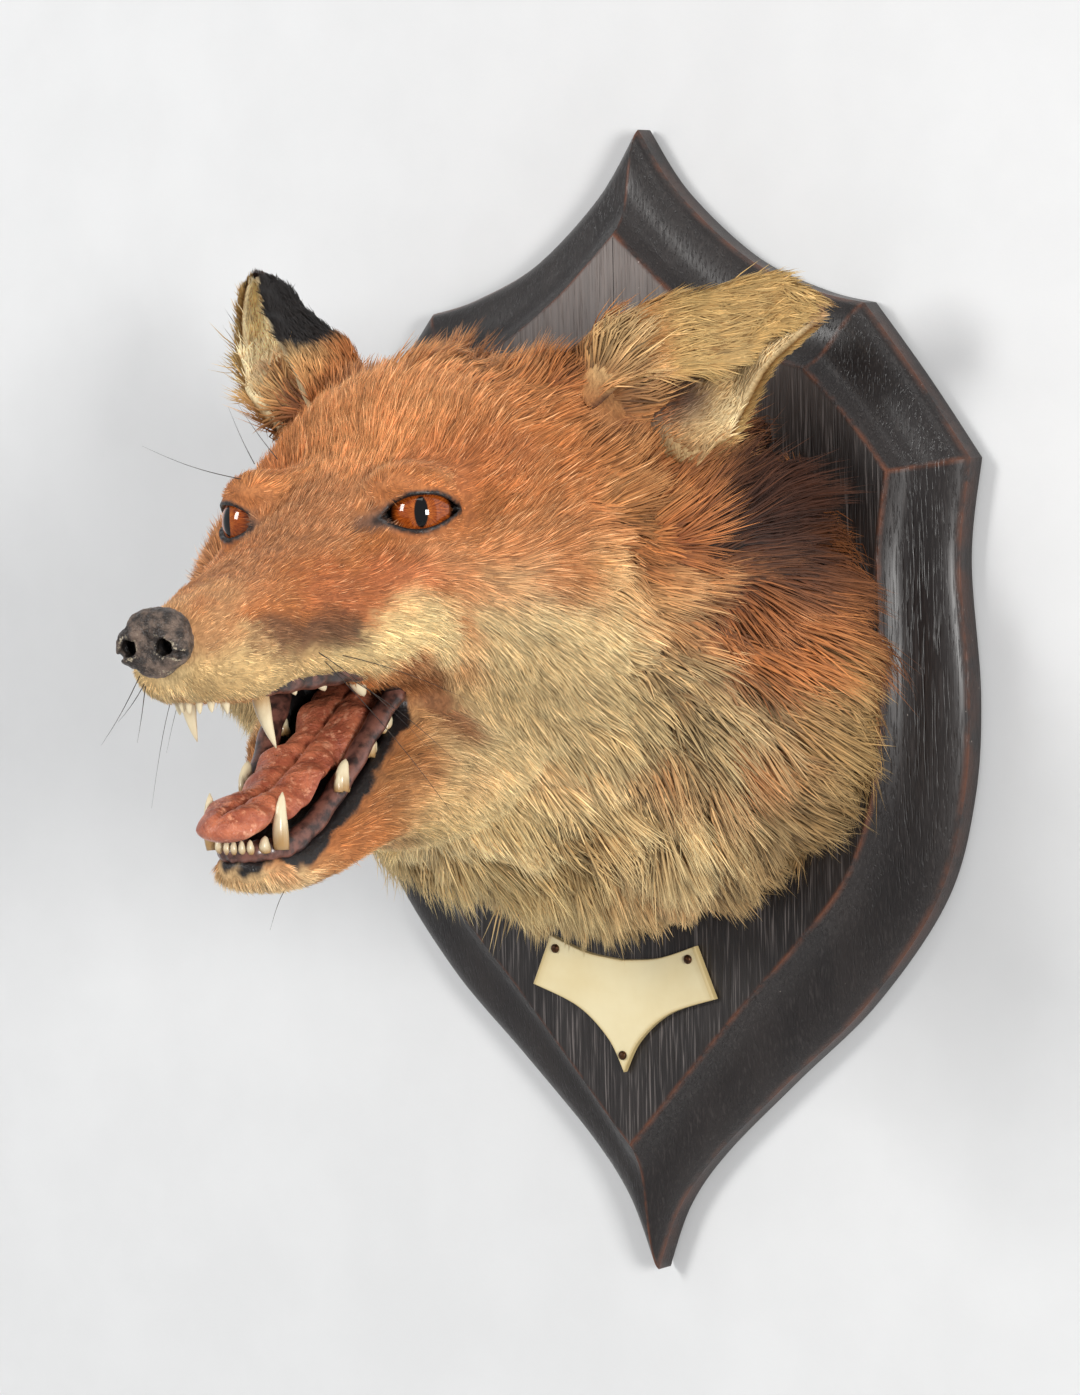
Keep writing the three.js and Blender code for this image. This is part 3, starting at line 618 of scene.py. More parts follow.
@dataclass
class Shape:
    """Vertices in the wall's frame in millimetres, faces and named values per vertex."""

    points: Array
    faces: list[Array]
    values: dict[str, Array] = field(default_factory=dict)
    uv: Array | None = None
    normals: Array | None = None

    def joined(self, other: "Shape") -> "Shape":
        """This shape and another as one, with the values both have."""
        shift = len(self.points)
        kept = [k for k in self.values if k in other.values]
        values = {k: np.concatenate([self.values[k], other.values[k]]) for k in kept}
        faces = [*self.faces, *(f + shift for f in other.faces)]
        return Shape(np.concatenate([self.points, other.points]), faces, values)

    def object(self, name: str, smooth: bool = True, sharp: float | None = None) -> Piece:
        """A Blender object of the shape, in metres.

        Args:
            name: The piece's name.
            smooth: Whether its faces shade smoothly.
            sharp: Angle in degrees over which an edge stays sharp.

        Returns:
            The linked object.
        """
        mesh = bpy.data.meshes.new(name)
        groups = [np.asarray(f, np.int32) for f in self.faces if len(f)]
        loops = np.concatenate([g.reshape(-1) for g in groups])
        sizes = np.concatenate([np.full(len(g), g.shape[1], np.int32) for g in groups])
        starts = np.concatenate([[0], np.cumsum(sizes)[:-1]]).astype(np.int32)
        mesh.vertices.add(len(self.points))
        mesh.vertices.foreach_set("co", (self.points * MM).astype(np.float32).ravel())
        mesh.loops.add(len(loops))
        mesh.loops.foreach_set("vertex_index", loops)
        mesh.polygons.add(len(sizes))
        mesh.polygons.foreach_set("loop_start", starts)
        mesh.polygons.foreach_set("use_smooth", np.full(len(sizes), smooth))
        for key, value in self.values.items():
            kind = {1: "FLOAT", 2: "FLOAT_VECTOR"}[value.ndim]
            mesh.attributes.new(key, kind, "POINT").data.foreach_set(
                "value" if value.ndim == 1 else "vector", value.astype(np.float32).ravel())
        if self.uv is not None:
            layer = mesh.uv_layers.new(name="OFBake")
            layer.data.foreach_set("uv", self.uv[loops].astype(np.float32).ravel())
        mesh.update(calc_edges=True)
        mesh.validate()
        if sharp is not None:
            mesh.set_sharp_from_angle(angle=math.radians(sharp))
        if self.normals is not None:
            mesh.normals_split_custom_set(self.normals.astype(np.float32))
        made = bpy.data.objects.new(name, mesh)
        bpy.context.scene.collection.objects.link(made)
        return made


def ring_faces(rings: int, count: int, caps: bool = True) -> list[Array]:
    """Quads of stacked rings, with a point fan at each end where caps is set.

    Args:
        rings: Number of rings.
        count: Points in each ring.
        caps: Whether two more vertices, after the rings, close the ends.

    Returns:
        Face arrays, quads first.
    """
    i, j = np.meshgrid(np.arange(rings - 1), np.arange(count), indexing="ij")
    a, b = i * count + j, i * count + (j + 1) % count
    faces = [np.stack([a, b, b + count, a + count], -1).reshape(-1, 4)]
    if caps:
        k = np.arange(count)
        first, last = rings * count, rings * count + 1
        faces.append(np.stack([(k + 1) % count, k, np.full(count, first)], 1))
        end = (rings - 1) * count
        faces.append(np.stack([end + k, end + (k + 1) % count, np.full(count, last)], 1))
    return faces


def ring_shape(rings: Array) -> Shape:
    """Closed shape of stacked rings, capped with fans.

    Args:
        rings: Array of rings, points and coordinates, in the wall's frame.

    Returns:
        The shape, facing out.
    """
    count = rings.shape[1]
    points = np.concatenate([rings.reshape(-1, 3), rings[:1].mean(1), rings[-1:].mean(1)])
    return outward(Shape(points, ring_faces(len(rings), count)))


def tube(centre: Array, x: Array, y: Array, radius: Array, sides: int, squash: float = 1.0) -> Shape:
    """Closed tube round a centre line in the head's axes.

    Args:
        centre: Places along it.
        x: One direction across it.
        y: The other.
        radius: Its radius at each place.
        sides: Points in each ring.
        squash: Its width along x, as a share of the radius.

    Returns:
        The shape in the wall's frame.
    """
    q = np.linspace(0, 2 * math.pi, sides, endpoint=False)
    ring = x * np.cos(q)[:, None] * squash + y * np.sin(q)[:, None]
    return ring_shape(HEAD.to_wall(centre[:, None] + ring[None] * radius[:, None, None]))


def outward(shape: Shape) -> Shape:
    """The shape with its faces turned out where they face in."""
    volume = 0.0
    for group in shape.faces:
        for k in range(1, group.shape[1] - 1):
            a, b, c = (shape.points[group[:, i]] for i in (0, k, k + 1))
            volume += float(np.einsum("ij,ij->i", a, np.cross(b, c)).sum())
    if volume < 0:
        if shape.normals is not None:
            sizes = [f.size for f in shape.faces]
            parts = np.split(shape.normals, np.cumsum(sizes)[:-1])
            turned = [n.reshape(*f.shape, 3)[:, ::-1].reshape(-1, 3) for n, f in zip(parts, shape.faces)]
            shape.normals = np.concatenate(turned)
        shape.faces = [f[:, ::-1] for f in shape.faces]
    return shape


def placed(made: Piece, slot: str, material: Material, *nodes: str) -> Piece:
    """Rides a finished piece on the body, in the place of the nodes it stands for.

    Args:
        made: The piece.
        slot: The record's material slot; not used.
        material: Its material.
        nodes: CAD nodes that it replaces.

    Returns:
        The same piece.
    """
    made.data.materials.append(material)
    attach(made, ROOT_BODY)
    if nodes:
        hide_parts(*nodes)
    log.info("%s: %d vertices, %d faces", made.name, len(made.data.vertices), len(made.data.polygons))
    return made


# ---------------------------------------------------------------- markings


@dataclass(frozen=True)
class Patch:
    """A soft-edged area of colour round a line on the head."""

    colour: Colour
    start: Point
    end: Point
    radius: float
    soft: float
    strength: float = 1.0

    def mask(self, p: Array) -> Array:
        """How strongly each point takes the colour."""
        edge, core = self.radius + self.soft, self.radius - self.soft * 0.3
        return self.strength * smooth_step(edge, core, capsule(p, self.start, self.end))


@dataclass(frozen=True)
class Markings:
    """The coat's colours by place on the head, the same for skin and tufts, with a few patches of painted
    light and shade.
    """

    base: Colour = linear(184, 113, 61)
    patches: tuple[Patch, ...] = (
        Patch(linear(216, 147, 91), (0, -10, 20), (0, -52, 38), 20, 18, 0.8),
        Patch(linear(206, 160, 102), (44, -60, 42), (54, -62, 30), 7, 11, 0.9),
        Patch(linear(214, 176, 122), (46, -56, 37), (58, -64, 30), 4.5, 7, 0.85),
        Patch(linear(192, 146, 92), (58, -63, 22), (66, -70, 8), 4, 7, 0.85),
        Patch(linear(191, 129, 83), (0, 6, 3), (0, 60, -13), 8, 9),
        Patch(linear(206, 156, 106), (0, 62, -15), (5, 74, -22), 6, 6, 0.8),
        Patch(linear(176, 102, 60), (18, 30, -16), (27, 15, -17), 5, 8, 0.85),
        Patch(linear(206, 142, 94), (33, 4, -13), (44, -12, -15), 4, 8, 0.7),
        Patch(linear(188, 112, 66), (22, -8, 13), (36, -22, 12), 6, 8, 0.5),
        Patch(linear(182, 120, 72), (42, -8, -13), (56, -34, -5), 7, 11, 0.85),
        Patch(linear(208, 160, 106), (56, -34, -24), (67, -52, -27), 8, 12, 0.9),
        Patch(linear(214, 180, 128), (58, -38, -42), (70, -62, -50), 8, 9, 0.9),
        Patch(linear(152, 100, 58), (46, -50, 20), (61, -62, 10), 7, 11, 0.8),
        Patch(linear(186, 130, 78), (54, -46, 4), (58, -50, 2), 5, 8, 0.8),
        Patch(linear(226, 196, 142), (0, 76, -37), (12, 66, -33), 6.5, 5),
        Patch(linear(206, 172, 118), (13, 72, -34), (22, 28, -36), 6.0, 5.5),
        Patch(linear(222, 192, 136), (24, 28, -31), (38, -3, -30), 5.5, 6),
        Patch(linear(214, 184, 132), (40, -6, -34), (60, -32, -36), 10, 10),
        Patch(linear(192, 162, 113), (36, -9, -50), (64, -52, -54), 13, 12),
        Patch(linear(222, 189, 134), (34, -26, -80), (64, -76, -88), 17, 13),
        Patch(linear(212, 180, 124), (0, -22, -86), (0, -84, -104), 32, 16),
        Patch(linear(200, 164, 112), (0, -112, -96), (88, -104, -74), 24, 16, 0.9),
        Patch(linear(154, 100, 55), (24, 15, -70), (25, 6, -58), 6.5, 7.5, 0.9),
        # Painted light: a paler pool on the lower throat, where the light falls.
        Patch(linear(240, 208, 152), (12, -34, -84), (20, -48, -92), 7, 11, 0.9),
        Patch(linear(186, 138, 88), (0, 30, -86), (12, 0, -86), 9, 9, 0.8),
        Patch(linear(218, 184, 134), (0, 48, -84), (7, 42, -84), 5.5, 5, 0.9),
        Patch(linear(72, 44, 30), (17.5, 50, -25.5), (21.5, 31, -26.5), 3.6, 6.5, 0.92),
        Patch(linear(140, 88, 52), (23, 4, -41), (28, -6, -47), 4.5, 6, 0.9),
        Patch(linear(140, 96, 64), (15.6, 58, -27), (19, 38, -28), 3.0, 6, 0.7),
        # Painted shade: a darker band along the ruff's outer lower edge.
        Patch(linear(150, 118, 76), (86, -86, -66), (68, -92, -96), 12, 13, 0.85),
        Patch(linear(178, 140, 88), (90, -82, -52), (96, -92, -66), 12, 13, 0.9),
        Patch(linear(190, 118, 62), (73, -56, -30), (84, -72, -38), 6, 10, 0.95),
        # Dark top of the neck behind the ear: partly the coat's own darker fur, partly painted shade.
        Patch(linear(112, 64, 34), (80, -76, -4), (98, -96, -22), 12, 14, 0.9),
        Patch(linear(62, 34, 22), (80, -78, -2), (70, -98, 24), 12, 13, 0.97),
        Patch(linear(142, 88, 46), (0, -90, 44), (30, -104, 40), 14, 16, 0.8),
    )
    narrow: tuple[Patch, ...] = (
        Patch(linear(104, 80, 68), (20.0, 2.6, -0.8), (15.2, 10.4, -1.8), 2.0, 3.0, 0.85),
        Patch(linear(40, 30, 27), (20.2, 2.0, -0.8), (17.8, 5.4, -1.2), 0.7, 1.3, 0.95),
        Patch(linear(44, 34, 30), (30.4, -7.6, 0.6), (36.4, -12.6, 0.8), 0.9, 1.5, 0.95),
        Patch(linear(218, 158, 104), (20, 1, 8.5), (29, -9, 8), 1.0, 3.0, 0.5),
        Patch(linear(66, 44, 36), (0, 80, -33.5), (0.6, 68, -41), 0.45, 0.9, 0.9),
    )
    wander: float = 3.4
    ear_buff: Colour = linear(178, 144, 90)
    ear_black: Colour = linear(30, 25, 23)
    ear_inner: Colour = linear(112, 88, 74)
    ear_light: Colour = linear(202, 170, 120)
    ear_cream: Colour = linear(255, 236, 188)
    ear_tip: Colour = linear(128, 92, 76)

    def colour(self, p: Array) -> Array:
        """Coat colour at points in the head's axes.

        Args:
            p: Points, one per row.

        Returns:
            Linear colours, one per row.
        """
        q = mirrored(p)
        wide = q + self.wander * Ripple(22, 5).vectors(p) + 0.35 * self.wander * Ripple(6, 9).vectors(p)
        c = np.tile(np.array(self.base), (len(p), 1))
        for patch in self.patches:
            c = lerp(c, np.array(patch.colour), patch.mask(wide)[:, None])
        for patch in self.narrow:
            c = lerp(c, np.array(patch.colour), patch.mask(q)[:, None])
        shade = 1 + 0.10 * Ripple(9, 21).value(p) + 0.07 * Ripple(3.2, 23).value(p)
        return np.clip(c * shade[:, None], 0, 1)

    def ear_colour(self, rise: Array, turn: Array, inner: Array, ear: "Ear") -> Array:
        """Coat colour of an ear, darker low in its hollow: partly the inner ear's own skin, partly painted
        shade in the recess.

        Args:
            rise: 0 at the ear's root, 1 at its tip.
            turn: Place across the leaf, -1 and 1 at its rims.
            inner: 1 on the hollow side.
            ear: The ear, for how far the black of its back reaches.

        Returns:
            Linear colours, one per row.
        """
        c = np.tile(np.array(self.ear_buff), (len(rise), 1))
        if ear.flap:
            black = smooth_step(0.3, 0.1, turn) * smooth_step(-0.98, -0.86, turn)
            black = black * smooth_step(0.15, 0.3, rise)
            pale = 0.4 * smooth_step(-0.45, -0.85, turn) * smooth_step(0.1, 0.45, rise)
            deep = smooth_step(0.5, 0.2, rise) * smooth_step(-0.8, -0.4, turn)
        else:
            black = smooth_step(-0.14, -0.02, rise) * smooth_step(0.98, 0.9, turn)
            pale = 0.7 + 0.3 * smooth_step(0.2, 0.6, turn)
            deep = 0.2 * smooth_step(0.5, 0.2, rise) * smooth_step(0.5, 0.0, turn)
        c = lerp(c, np.array(self.ear_black), ((1 - inner) * black)[:, None])
        c = lerp(c, np.array(self.ear_light), inner[:, None])
        c = lerp(c, np.array(self.ear_cream), (inner * pale)[:, None])
        # Darker low in the hollow: partly the inner ear's own skin, partly painted shade in the recess.
        c = lerp(c, np.array(self.ear_inner), (inner * deep)[:, None])
        tip = smooth_step(0.93, 0.99, rise) * (0.8 if ear.flap else 0.3)
        return lerp(c, np.array(self.ear_tip), tip[:, None])


# ---------------------------------------------------------------- ears


@dataclass(frozen=True)
class Ear:
    """A leaf of skin, drawn through rows of five places from one rim over its back to the other."""

    name: str
    hollow: Point
    reach: float
    rows: tuple
    flap: bool = False
    root_wall: float = 3.2
    tip_wall: float = 1.5
    along: int = 60
    across: int = 44

    def leaf(self, h: Array, a: Array) -> Array:
        """Places on the back of the leaf in the head's axes.

        Args:
            h: Height along the leaf, 0 at the root and 1 at the tip.
            a: Place across from -1 to 1.

        Returns:
            Points, one per row.
        """
        h, a = np.asarray(h, float), np.asarray(a, float)
        count, last = len(self.rows), len(self.rows) - 1
        places = np.array([np.array(row[1:]) for row in self.rows], float)
        by_column = places.transpose(1, 0, 2).reshape(5, -1)
        table = StationTable(np.column_stack([np.linspace(-1, 1, 5), by_column]))
        grid = np.array(table.at(a)).reshape(count, 3, -1)
        x = np.interp(h, [row[0] for row in self.rows], np.arange(count))
        low = np.clip(np.floor(x).astype(int), 0, last - 1)
        t = (x - low)[:, None]
        o, p, q, r = (grid[np.clip(low + k, 0, last), :, np.arange(len(a))] for k in (-1, 0, 1, 2))
        made = 0.5 * (2 * p + (q - o) * t + (2 * o - 5 * p + 4 * q - r) * t**2
                      + (3 * p - 3 * q + r - o) * t**3)
        wave = 0.5 * np.sin(h * 23 + a * 2) * np.abs(a) ** 3
        return made + wave[:, None] * np.array([0.5, 0.5, 0.7])

    def normal(self, h: Array, a: Array) -> Array:
        """Directions out of the back of the leaf."""
        step = 0.01
        way = unit(self.leaf(h + step, a) - self.leaf(h - step, a))
        around = unit(self.leaf(h, np.minimum(a + step, 1)) - self.leaf(h, np.maximum(a - step, -1)))
        return unit(np.cross(way, around))

    def point(self, h: Array, a: Array, wall: Array) -> Array:
        """Places a distance in from the back of the leaf."""
        return self.leaf(h, a) - self.normal(h, a) * np.asarray(wall, float)[:, None]

    def wall_at(self, h: Array) -> Array:
        """Thickness of the leaf along it."""
        return lerp(self.root_wall, self.tip_wall, np.clip(h, 0, 1))

    def shape(self) -> tuple[Shape, dict[str, Array]]:
        """The leaf as a closed shape, with its own places per vertex.

        Returns:
            The shape in the wall's frame, and its rise, turn and inner values.
        """
        rings, marks = [], []
        a = np.linspace(-1, 1, self.across)
        for h in np.linspace(-0.19, 0.985, self.along):
            wall = float(self.wall_at(np.array(h)))
            hs = np.full(self.across, h)
            back = self.point(hs, a, np.zeros_like(a))
            front = self.point(hs, a[::-1], np.full_like(a, wall))
            rings.append(HEAD.to_wall(np.concatenate([back, front])))
            rise, turn = np.full(2 * self.across, h), np.concatenate([a, a[::-1]])
            marks.append(np.stack([rise, turn, np.repeat([0.0, 1.0], self.across)], 1))
        made = ring_shape(np.array(rings))
        m = np.concatenate([*marks, marks[0][:1], marks[-1][:1]])
        return made, {"rise": m[:, 0], "turn": m[:, 1], "inner": m[:, 2]}


LEFT_EAR_ROWS = (
    (-0.2, (57, -70, -2), (46, -72, 12), (38, -82, 24), (30, -68, 34), (42, -60, 24)),
    (-0.08, (61, -76, 4), (51, -75, 15), (42, -82, 28), (41, -71, 44.2), (47, -61, 27)),
    (0.0, (67.4, -73, 7.8), (57, -73.5, 18), (48, -84, 30), (45, -74, 45.5), (55, -66, 30)),
    (0.2, (70.1, -75, 11.4), (63, -75, 20), (53, -90, 34), (55.8, -77, 48.9), (61.5, -70, 31.2)),
    (0.4, (72, -79.5, 14.2), (65, -82, 23.5), (57.5, -93, 37.8), (64.3, -79, 49.6), (66, -77, 31.8)),
    (0.6, (74.9, -86, 22.9), (67.8, -91, 27.5), (63.8, -94, 41.1), (74.1, -82, 51.7), (70.9, -83, 34)),
    (0.8, (80.7, -88.5, 32.1), (75.6, -92, 35.3), (73.8, -94, 43), (82.7, -85, 52.7), (77.6, -86.5, 38.5)),
    (0.92, (88.1, -88, 37.1), (85.5, -91, 39.5), (84.2, -92.5, 44.3), (90.3, -86, 49.7), (86.6, -87, 41.5)),
    (1.0, (95.4, -87.5, 41.4), (94.5, -89, 42.4), (94.6, -89.5, 43.7), (97.8, -87, 45.5), (96.6, -87, 43.1)),
)
RIGHT_EAR_ROWS = (
    (-0.2, (-34, -58, 22), (-28, -64, 24), (-27, -74, 28), (-42, -78, 24), (-42, -64, 14)),
    (0.0, (-39, -58, 36.9), (-35.2, -66, 38.1), (-33.7, -76, 41.6), (-54.4, -84, 39.1), (-57.8, -66, 28)),
    (0.25, (-47.5, -66, 44.5), (-44.4, -72, 44.3), (-41.7, -80, 46.7), (-62.6, -91, 44.8),
     (-66.7, -76, 36.7)),
    (0.5, (-55.9, -74, 50.8), (-54.3, -79, 50.6), (-53.1, -86, 53.2), (-70.2, -96, 50.5), (-72.6, -85, 45.7)),
    (0.75, (-63.1, -83, 57), (-62.7, -88, 57.8), (-61.6, -92, 59.3), (-74.7, -99, 57.2), (-76.1, -92, 56.3)),
    (0.92, (-68.6, -91, 61.6), (-68.8, -94, 62.2), (-68.7, -96, 62.7), (-75.7, -100, 61.6),
     (-76.7, -96, 61.7)),
    (1.0, (-72.4, -96, 64), (-73, -97, 64.1), (-73.3, -98, 64.1), (-75.2, -99, 64), (-75.9, -98, 63.7)),
)
EARS = (
    Ear("ear_left", (58, -72.5, 26.5), 9.2, LEFT_EAR_ROWS, flap=True),
    Ear("ear_right", (-60, -80, 44), 6.0, RIGHT_EAR_ROWS),
)


# ---------------------------------------------------------------- coat


class Side(Enum):
    """Which half of the head a coat piece covers."""

    LEFT = 1
    RIGHT = -1
    BOTH = 0


@dataclass(frozen=True)
class CoatZone:
    """One piece of the coat: where it grows and how many tufts it has."""

    name: str
    slot: str
    count: int
    rings: int
    inside: Callable[[Array], Array]
    side: Side = Side.BOTH


def jaw_part(p: Array) -> Array:
    """Whether points of the head lie on the lower jaw."""
    return (p[:, 2] < np.interp(p[:, 1], [-14, 8, 50], [-62, -47, -47])) & (p[:, 1] > -14)


def band(front: float, back: float) -> Callable[[Array], Array]:
    """Test for points between two places along the head, off the lower jaw."""
    return lambda p: (p[:, 1] <= front) & (p[:, 1] > back) & ~jaw_part(p)


MUZZLE_BACK, FACE_BACK, CHEEK_BACK = 15, -32, -76
ZONES = (
    CoatZone("coat_muzzle", "fur_face", 30000, 1, band(math.inf, MUZZLE_BACK)),
    CoatZone("coat_jaw", "fur_jaw", 24000, 1, jaw_part),
    CoatZone("coat_face_left", "fur_face", 42000, 1, band(MUZZLE_BACK, FACE_BACK), Side.LEFT),
    CoatZone("coat_face_right", "fur_face", 36000, 1, band(MUZZLE_BACK, FACE_BACK), Side.RIGHT),
    CoatZone("coat_cheek_left", "fur_face", 19900, 2, band(FACE_BACK, CHEEK_BACK), Side.LEFT),
    CoatZone("coat_cheek_right", "fur_face", 15000, 2, band(FACE_BACK, CHEEK_BACK), Side.RIGHT),
    CoatZone("coat_ruff_left", "fur_ruff", 19000, 2, band(CHEEK_BACK, -math.inf), Side.LEFT),
    CoatZone("coat_ruff_right", "fur_ruff", 14000, 2, band(CHEEK_BACK, -math.inf), Side.RIGHT),
)


@dataclass(frozen=True)
class Lock:
    """One size of lock that neighbouring tufts are drawn into.

    Args:
        size: How wide a lock's root is.
        pull: How far tips move to the lock's own tip, from 0 to 1.
        sink: How far tips at the lock's border drop, as a share of their height.
        splay: How far a lock's tips stand out at most, as a share of their height.
        dark: How much painted shade darkens its border, in the gaps between locks.
        seed: Seed of the locks' layout.
    """

    size: float
    pull: float
    sink: float
    splay: float
    dark: float
    seed: int


# The fifth number of each lock is the painted shade of its border.
LOCKS = {
    1: (Lock(1.7, 0.32, 0.3, 0.2, 0.6, 61), Lock(5.0, 0.16, 0.3, 0.1, 0.7, 63)),
    2: (Lock(2.6, 0.45, 0.3, 0.1, 0.7, 51), Lock(7.5, 0.4, 0.5, 0.35, 1.3, 55),
        Lock(17.0, 0.32, 0.6, 0.9, 1.4, 57)),
}
EAR_LOCK = Lock(2.6, 0.3, 0.2, 0.2, 0.0, 91)


@dataclass
class Roots:
    """Where tufts start: points and normals in the head's axes, and their sizes."""

    at: Array
    normal: Array
    lie: Array
    length: Array
    half: Array
    height: Array
    tint: Array


def scatter(points: Array, triangles: Array, count: int, rng: np.random.Generator) -> tuple[Array, Array]:
    """Random places spread evenly over triangles.

    Args:
        points: Vertices.
        triangles: Vertex numbers of each triangle.
        count: How many places.
        rng: The random source.

    Returns:
        Triangle number, and corner shares, of each place.
    """
    a, b, c = (points[triangles[:, k]] for k in range(3))
    area = np.linalg.norm(np.cross(b - a, c - a), axis=1) / 2
    total = np.cumsum(area)
    steps = (np.arange(count) + rng.uniform(0, 1, count)) / count * total[-1]
    pick = np.minimum(np.searchsorted(total, steps), len(triangles) - 1)
    r1, r2 = np.sqrt(rng.uniform(0, 1, count)), rng.uniform(0, 1, count)
    return pick, np.stack([1 - r1, r1 * (1 - r2), r1 * r2], 1)


@dataclass
class CoatGrower:
    """Grows tufts from the skin along the lie of the coat."""

    skin: Skin
    markings: Markings
    length_knots: tuple = (
        (-125, 21), (-98, 21.5), (-76, 18.5), (-52, 13.5), (-32, 9.5), (-10, 6.8), (12, 5.2), (40, 4.0),
        (62, 3.0), (80, 2.2),
    )
    half_knots: tuple = (
        (-125, 0.26), (-98, 0.25), (-76, 0.23), (-52, 0.2), (-33, 0.17), (-31, 0.15), (-10, 0.135),
        (12, 0.125), (40, 0.115), (80, 0.1),
    )
    ear_root: Point = (46, -71, 27)
    ear_tips: tuple[Point, ...] = ((96, -91, 43), (-74, -102, 61))
    rng: np.random.Generator = field(default_factory=lambda: np.random.default_rng(SEED))

    def lie(self, p: Array, n: Array) -> Array:
        """Direction the coat lies in, along the skin.

        Args:
            p: Points in the head's axes.
            n: Skin normals there.

        Returns:
            Unit directions.
        """
        s, f, u = p.T
        side = np.sign(s)
        d = np.tile(np.array([0, -1.0, 0]), (len(p), 1))
        cheek = smooth_step(12, -30, f) * smooth_step(2, -30, u)
        d[:, 2] -= 0.5 * cheek
        d[:, 2] -= 0.22 * smooth_step(10, -10, u + 20) * smooth_step(60, 10, f)
        d[:, 2] -= 0.08 * smooth_step(-60, -90, u) * smooth_step(0, -40, f)
        d[:, 0] += side * 0.18 * smooth_step(0, -50, f) * smooth_step(30, -10, u)
        d[:, 2] -= 1.6 * smooth_step(36, 48, f) * smooth_step(-70, -76, u)
        d[:, 2] += 0.12 * smooth_step(0, 30, u)
        wall = HEAD.to_wall(p)
        out = HEAD.to_head(wall + np.stack([wall[:, 0], np.zeros(len(p)), wall[:, 2] - 14], 1)) - p
        raised = lerp(0.04, 1.0, smooth_step(-46, -8, wall[:, 2]))
        flare = (smooth_step(-86, -34, wall[:, 1]) * raised)[:, None]
        d = d * (1 - 0.3 * flare) + unit(out) * 0.55 * flare
        eye = mirrored(p) - np.array(self.skin.socket.middle)
        reach = np.linalg.norm(eye, axis=1, keepdims=True)
        away = unit(eye)
        away[:, 0] *= np.where(side == 0, 1, side)
        d = d + away * 0.32 * np.exp(-((reach / 13) ** 2))
        near = self.from_ear(p)
        for tip in self.ear_tips:
            to = np.array(tip) - p
            d = d + unit(to) * (0.7 * np.exp(-((near / 17) ** 2)) * (p[:, 0] * tip[0] > 0))[:, None]
        d = d + 0.22 * Ripple(34, 71).vectors(p) + 0.16 * Ripple(9, 77).vectors(p)
        d = d - n * (d * n).sum(1, keepdims=True)
        return unit(d)

    def from_ear(self, p: Array) -> Array:
        """Distance from the root of the ear on each point's side."""
        return np.linalg.norm(mirrored(p) - np.array(self.ear_root), axis=1)

    def roots(self, at: Array, normal: Array) -> Roots:
        """Sizes and lie of tufts at skin points.

        Args:
            at: Points in the head's axes.
            normal: Skin normals there.

        Returns:
            The roots.
        """
        rng = self.rng
        q = mirrored(at)
        f, u = q[:, 1], q[:, 2]
        length = by_knots(f, self.length_knots)
        low = smooth_step(-18, -55, u) * smooth_step(5, -30, f)
        length = length * (1 + 0.2 * low)
        clear = smooth_step(9, 20, np.linalg.norm(q - np.array(self.skin.socket.middle), axis=1))
        length = length * lerp(0.45, 1.0, clear)
        length = length * rng.uniform(0.7, 1.25, len(at))
        half = by_knots(f, self.half_knots) * rng.uniform(0.75, 1.3, len(at)) * lerp(0.75, 1.0, clear)
        level = rng.uniform(0, 1, len(at))
        level = lerp(lerp(0.55, 1.12, level), lerp(0.78, 1.05, level), smooth_step(-30, -70, f))
        height = self.skin.depth(q) * level * lerp(0.5, 1.0, clear)
        base = lerp(0.4, 1.0, smooth_step(12, 30, self.from_ear(at)))
        fringe = smooth_step(22, 12, np.linalg.norm(at - np.array(EARS[0].hollow), axis=1))
        height = height * base * (1 + 1.1 * fringe)
        length = length * lerp(0.7, 1.0, base) * (1 + 0.7 * fringe)
        lie = self.lie(at, normal)
        cross = np.cross(normal, lie)
        wild = smooth_step(-30, -70, f)
        swing = rng.normal(0, 1, len(at)) * lerp(0.15, 0.24, wild)
        lie = unit(lie + cross * swing[:, None] + 0.36 * wild[:, None] * Ripple(13, 79).vectors(at))
        guard = rng.uniform(0, 1, len(at)) < 0.24
        half = half * np.where(guard, lerp(1.6, 1.15, wild), 1.0)
        length = length * np.where(guard, 1.2, 1.0)
        height = height * np.where(guard, 1.2, 1.0)
        wall = HEAD.to_wall(at)
        hem = smooth_step(6, -38, wall[:, 2] + 0.12 * wall[:, 0]) * smooth_step(-84, -44, wall[:, 1])
        length = length * lerp(1.0, 0.42, hem) * lerp(1.0, 0.6, hem * smooth_step(-40, -56, wall[:, 2]))
        height = height * lerp(1.0, 0.6, hem)
        return Roots(at, normal, lie, length, half, height, self.markings.colour(at))

    def paths(self, roots: Roots, rings: int) -> tuple[Array, Array]:
        """Centre lines of tufts that follow the skin's curve.

        Args:
            roots: Where they start.
            rings: Rings of each tuft below its tip.

        Returns:
            Points and normals, shaped tufts by places by 3.
        """
        p, n, d = roots.at - roots.normal * 0.4, roots.normal, roots.lie
        line, normals = [p], [n]
        step = 1.0 / rings
        rise = lambda x: roots.height * (1.35 * x - 0.35 * x * x)
        surface = NetMesher(self.skin.flesh.value)
        for k in range(rings):
            go = roots.length * step
            lift = rise((k + 1) * step) - rise(k * step)
            p = p + d * np.sqrt(np.maximum(go**2 - lift**2, (0.3 * go) ** 2))[:, None] + n * lift[:, None]
            if roots.length.mean() > 6:
                n = unit(lerp(n, unit(surface.slope(p, 1.0)), 0.75))
                d = unit(d - n * (d * n).sum(1, keepdims=True))
            line.append(p)
            normals.append(n)
        return np.stack(line, 1), np.stack(normals, 1)

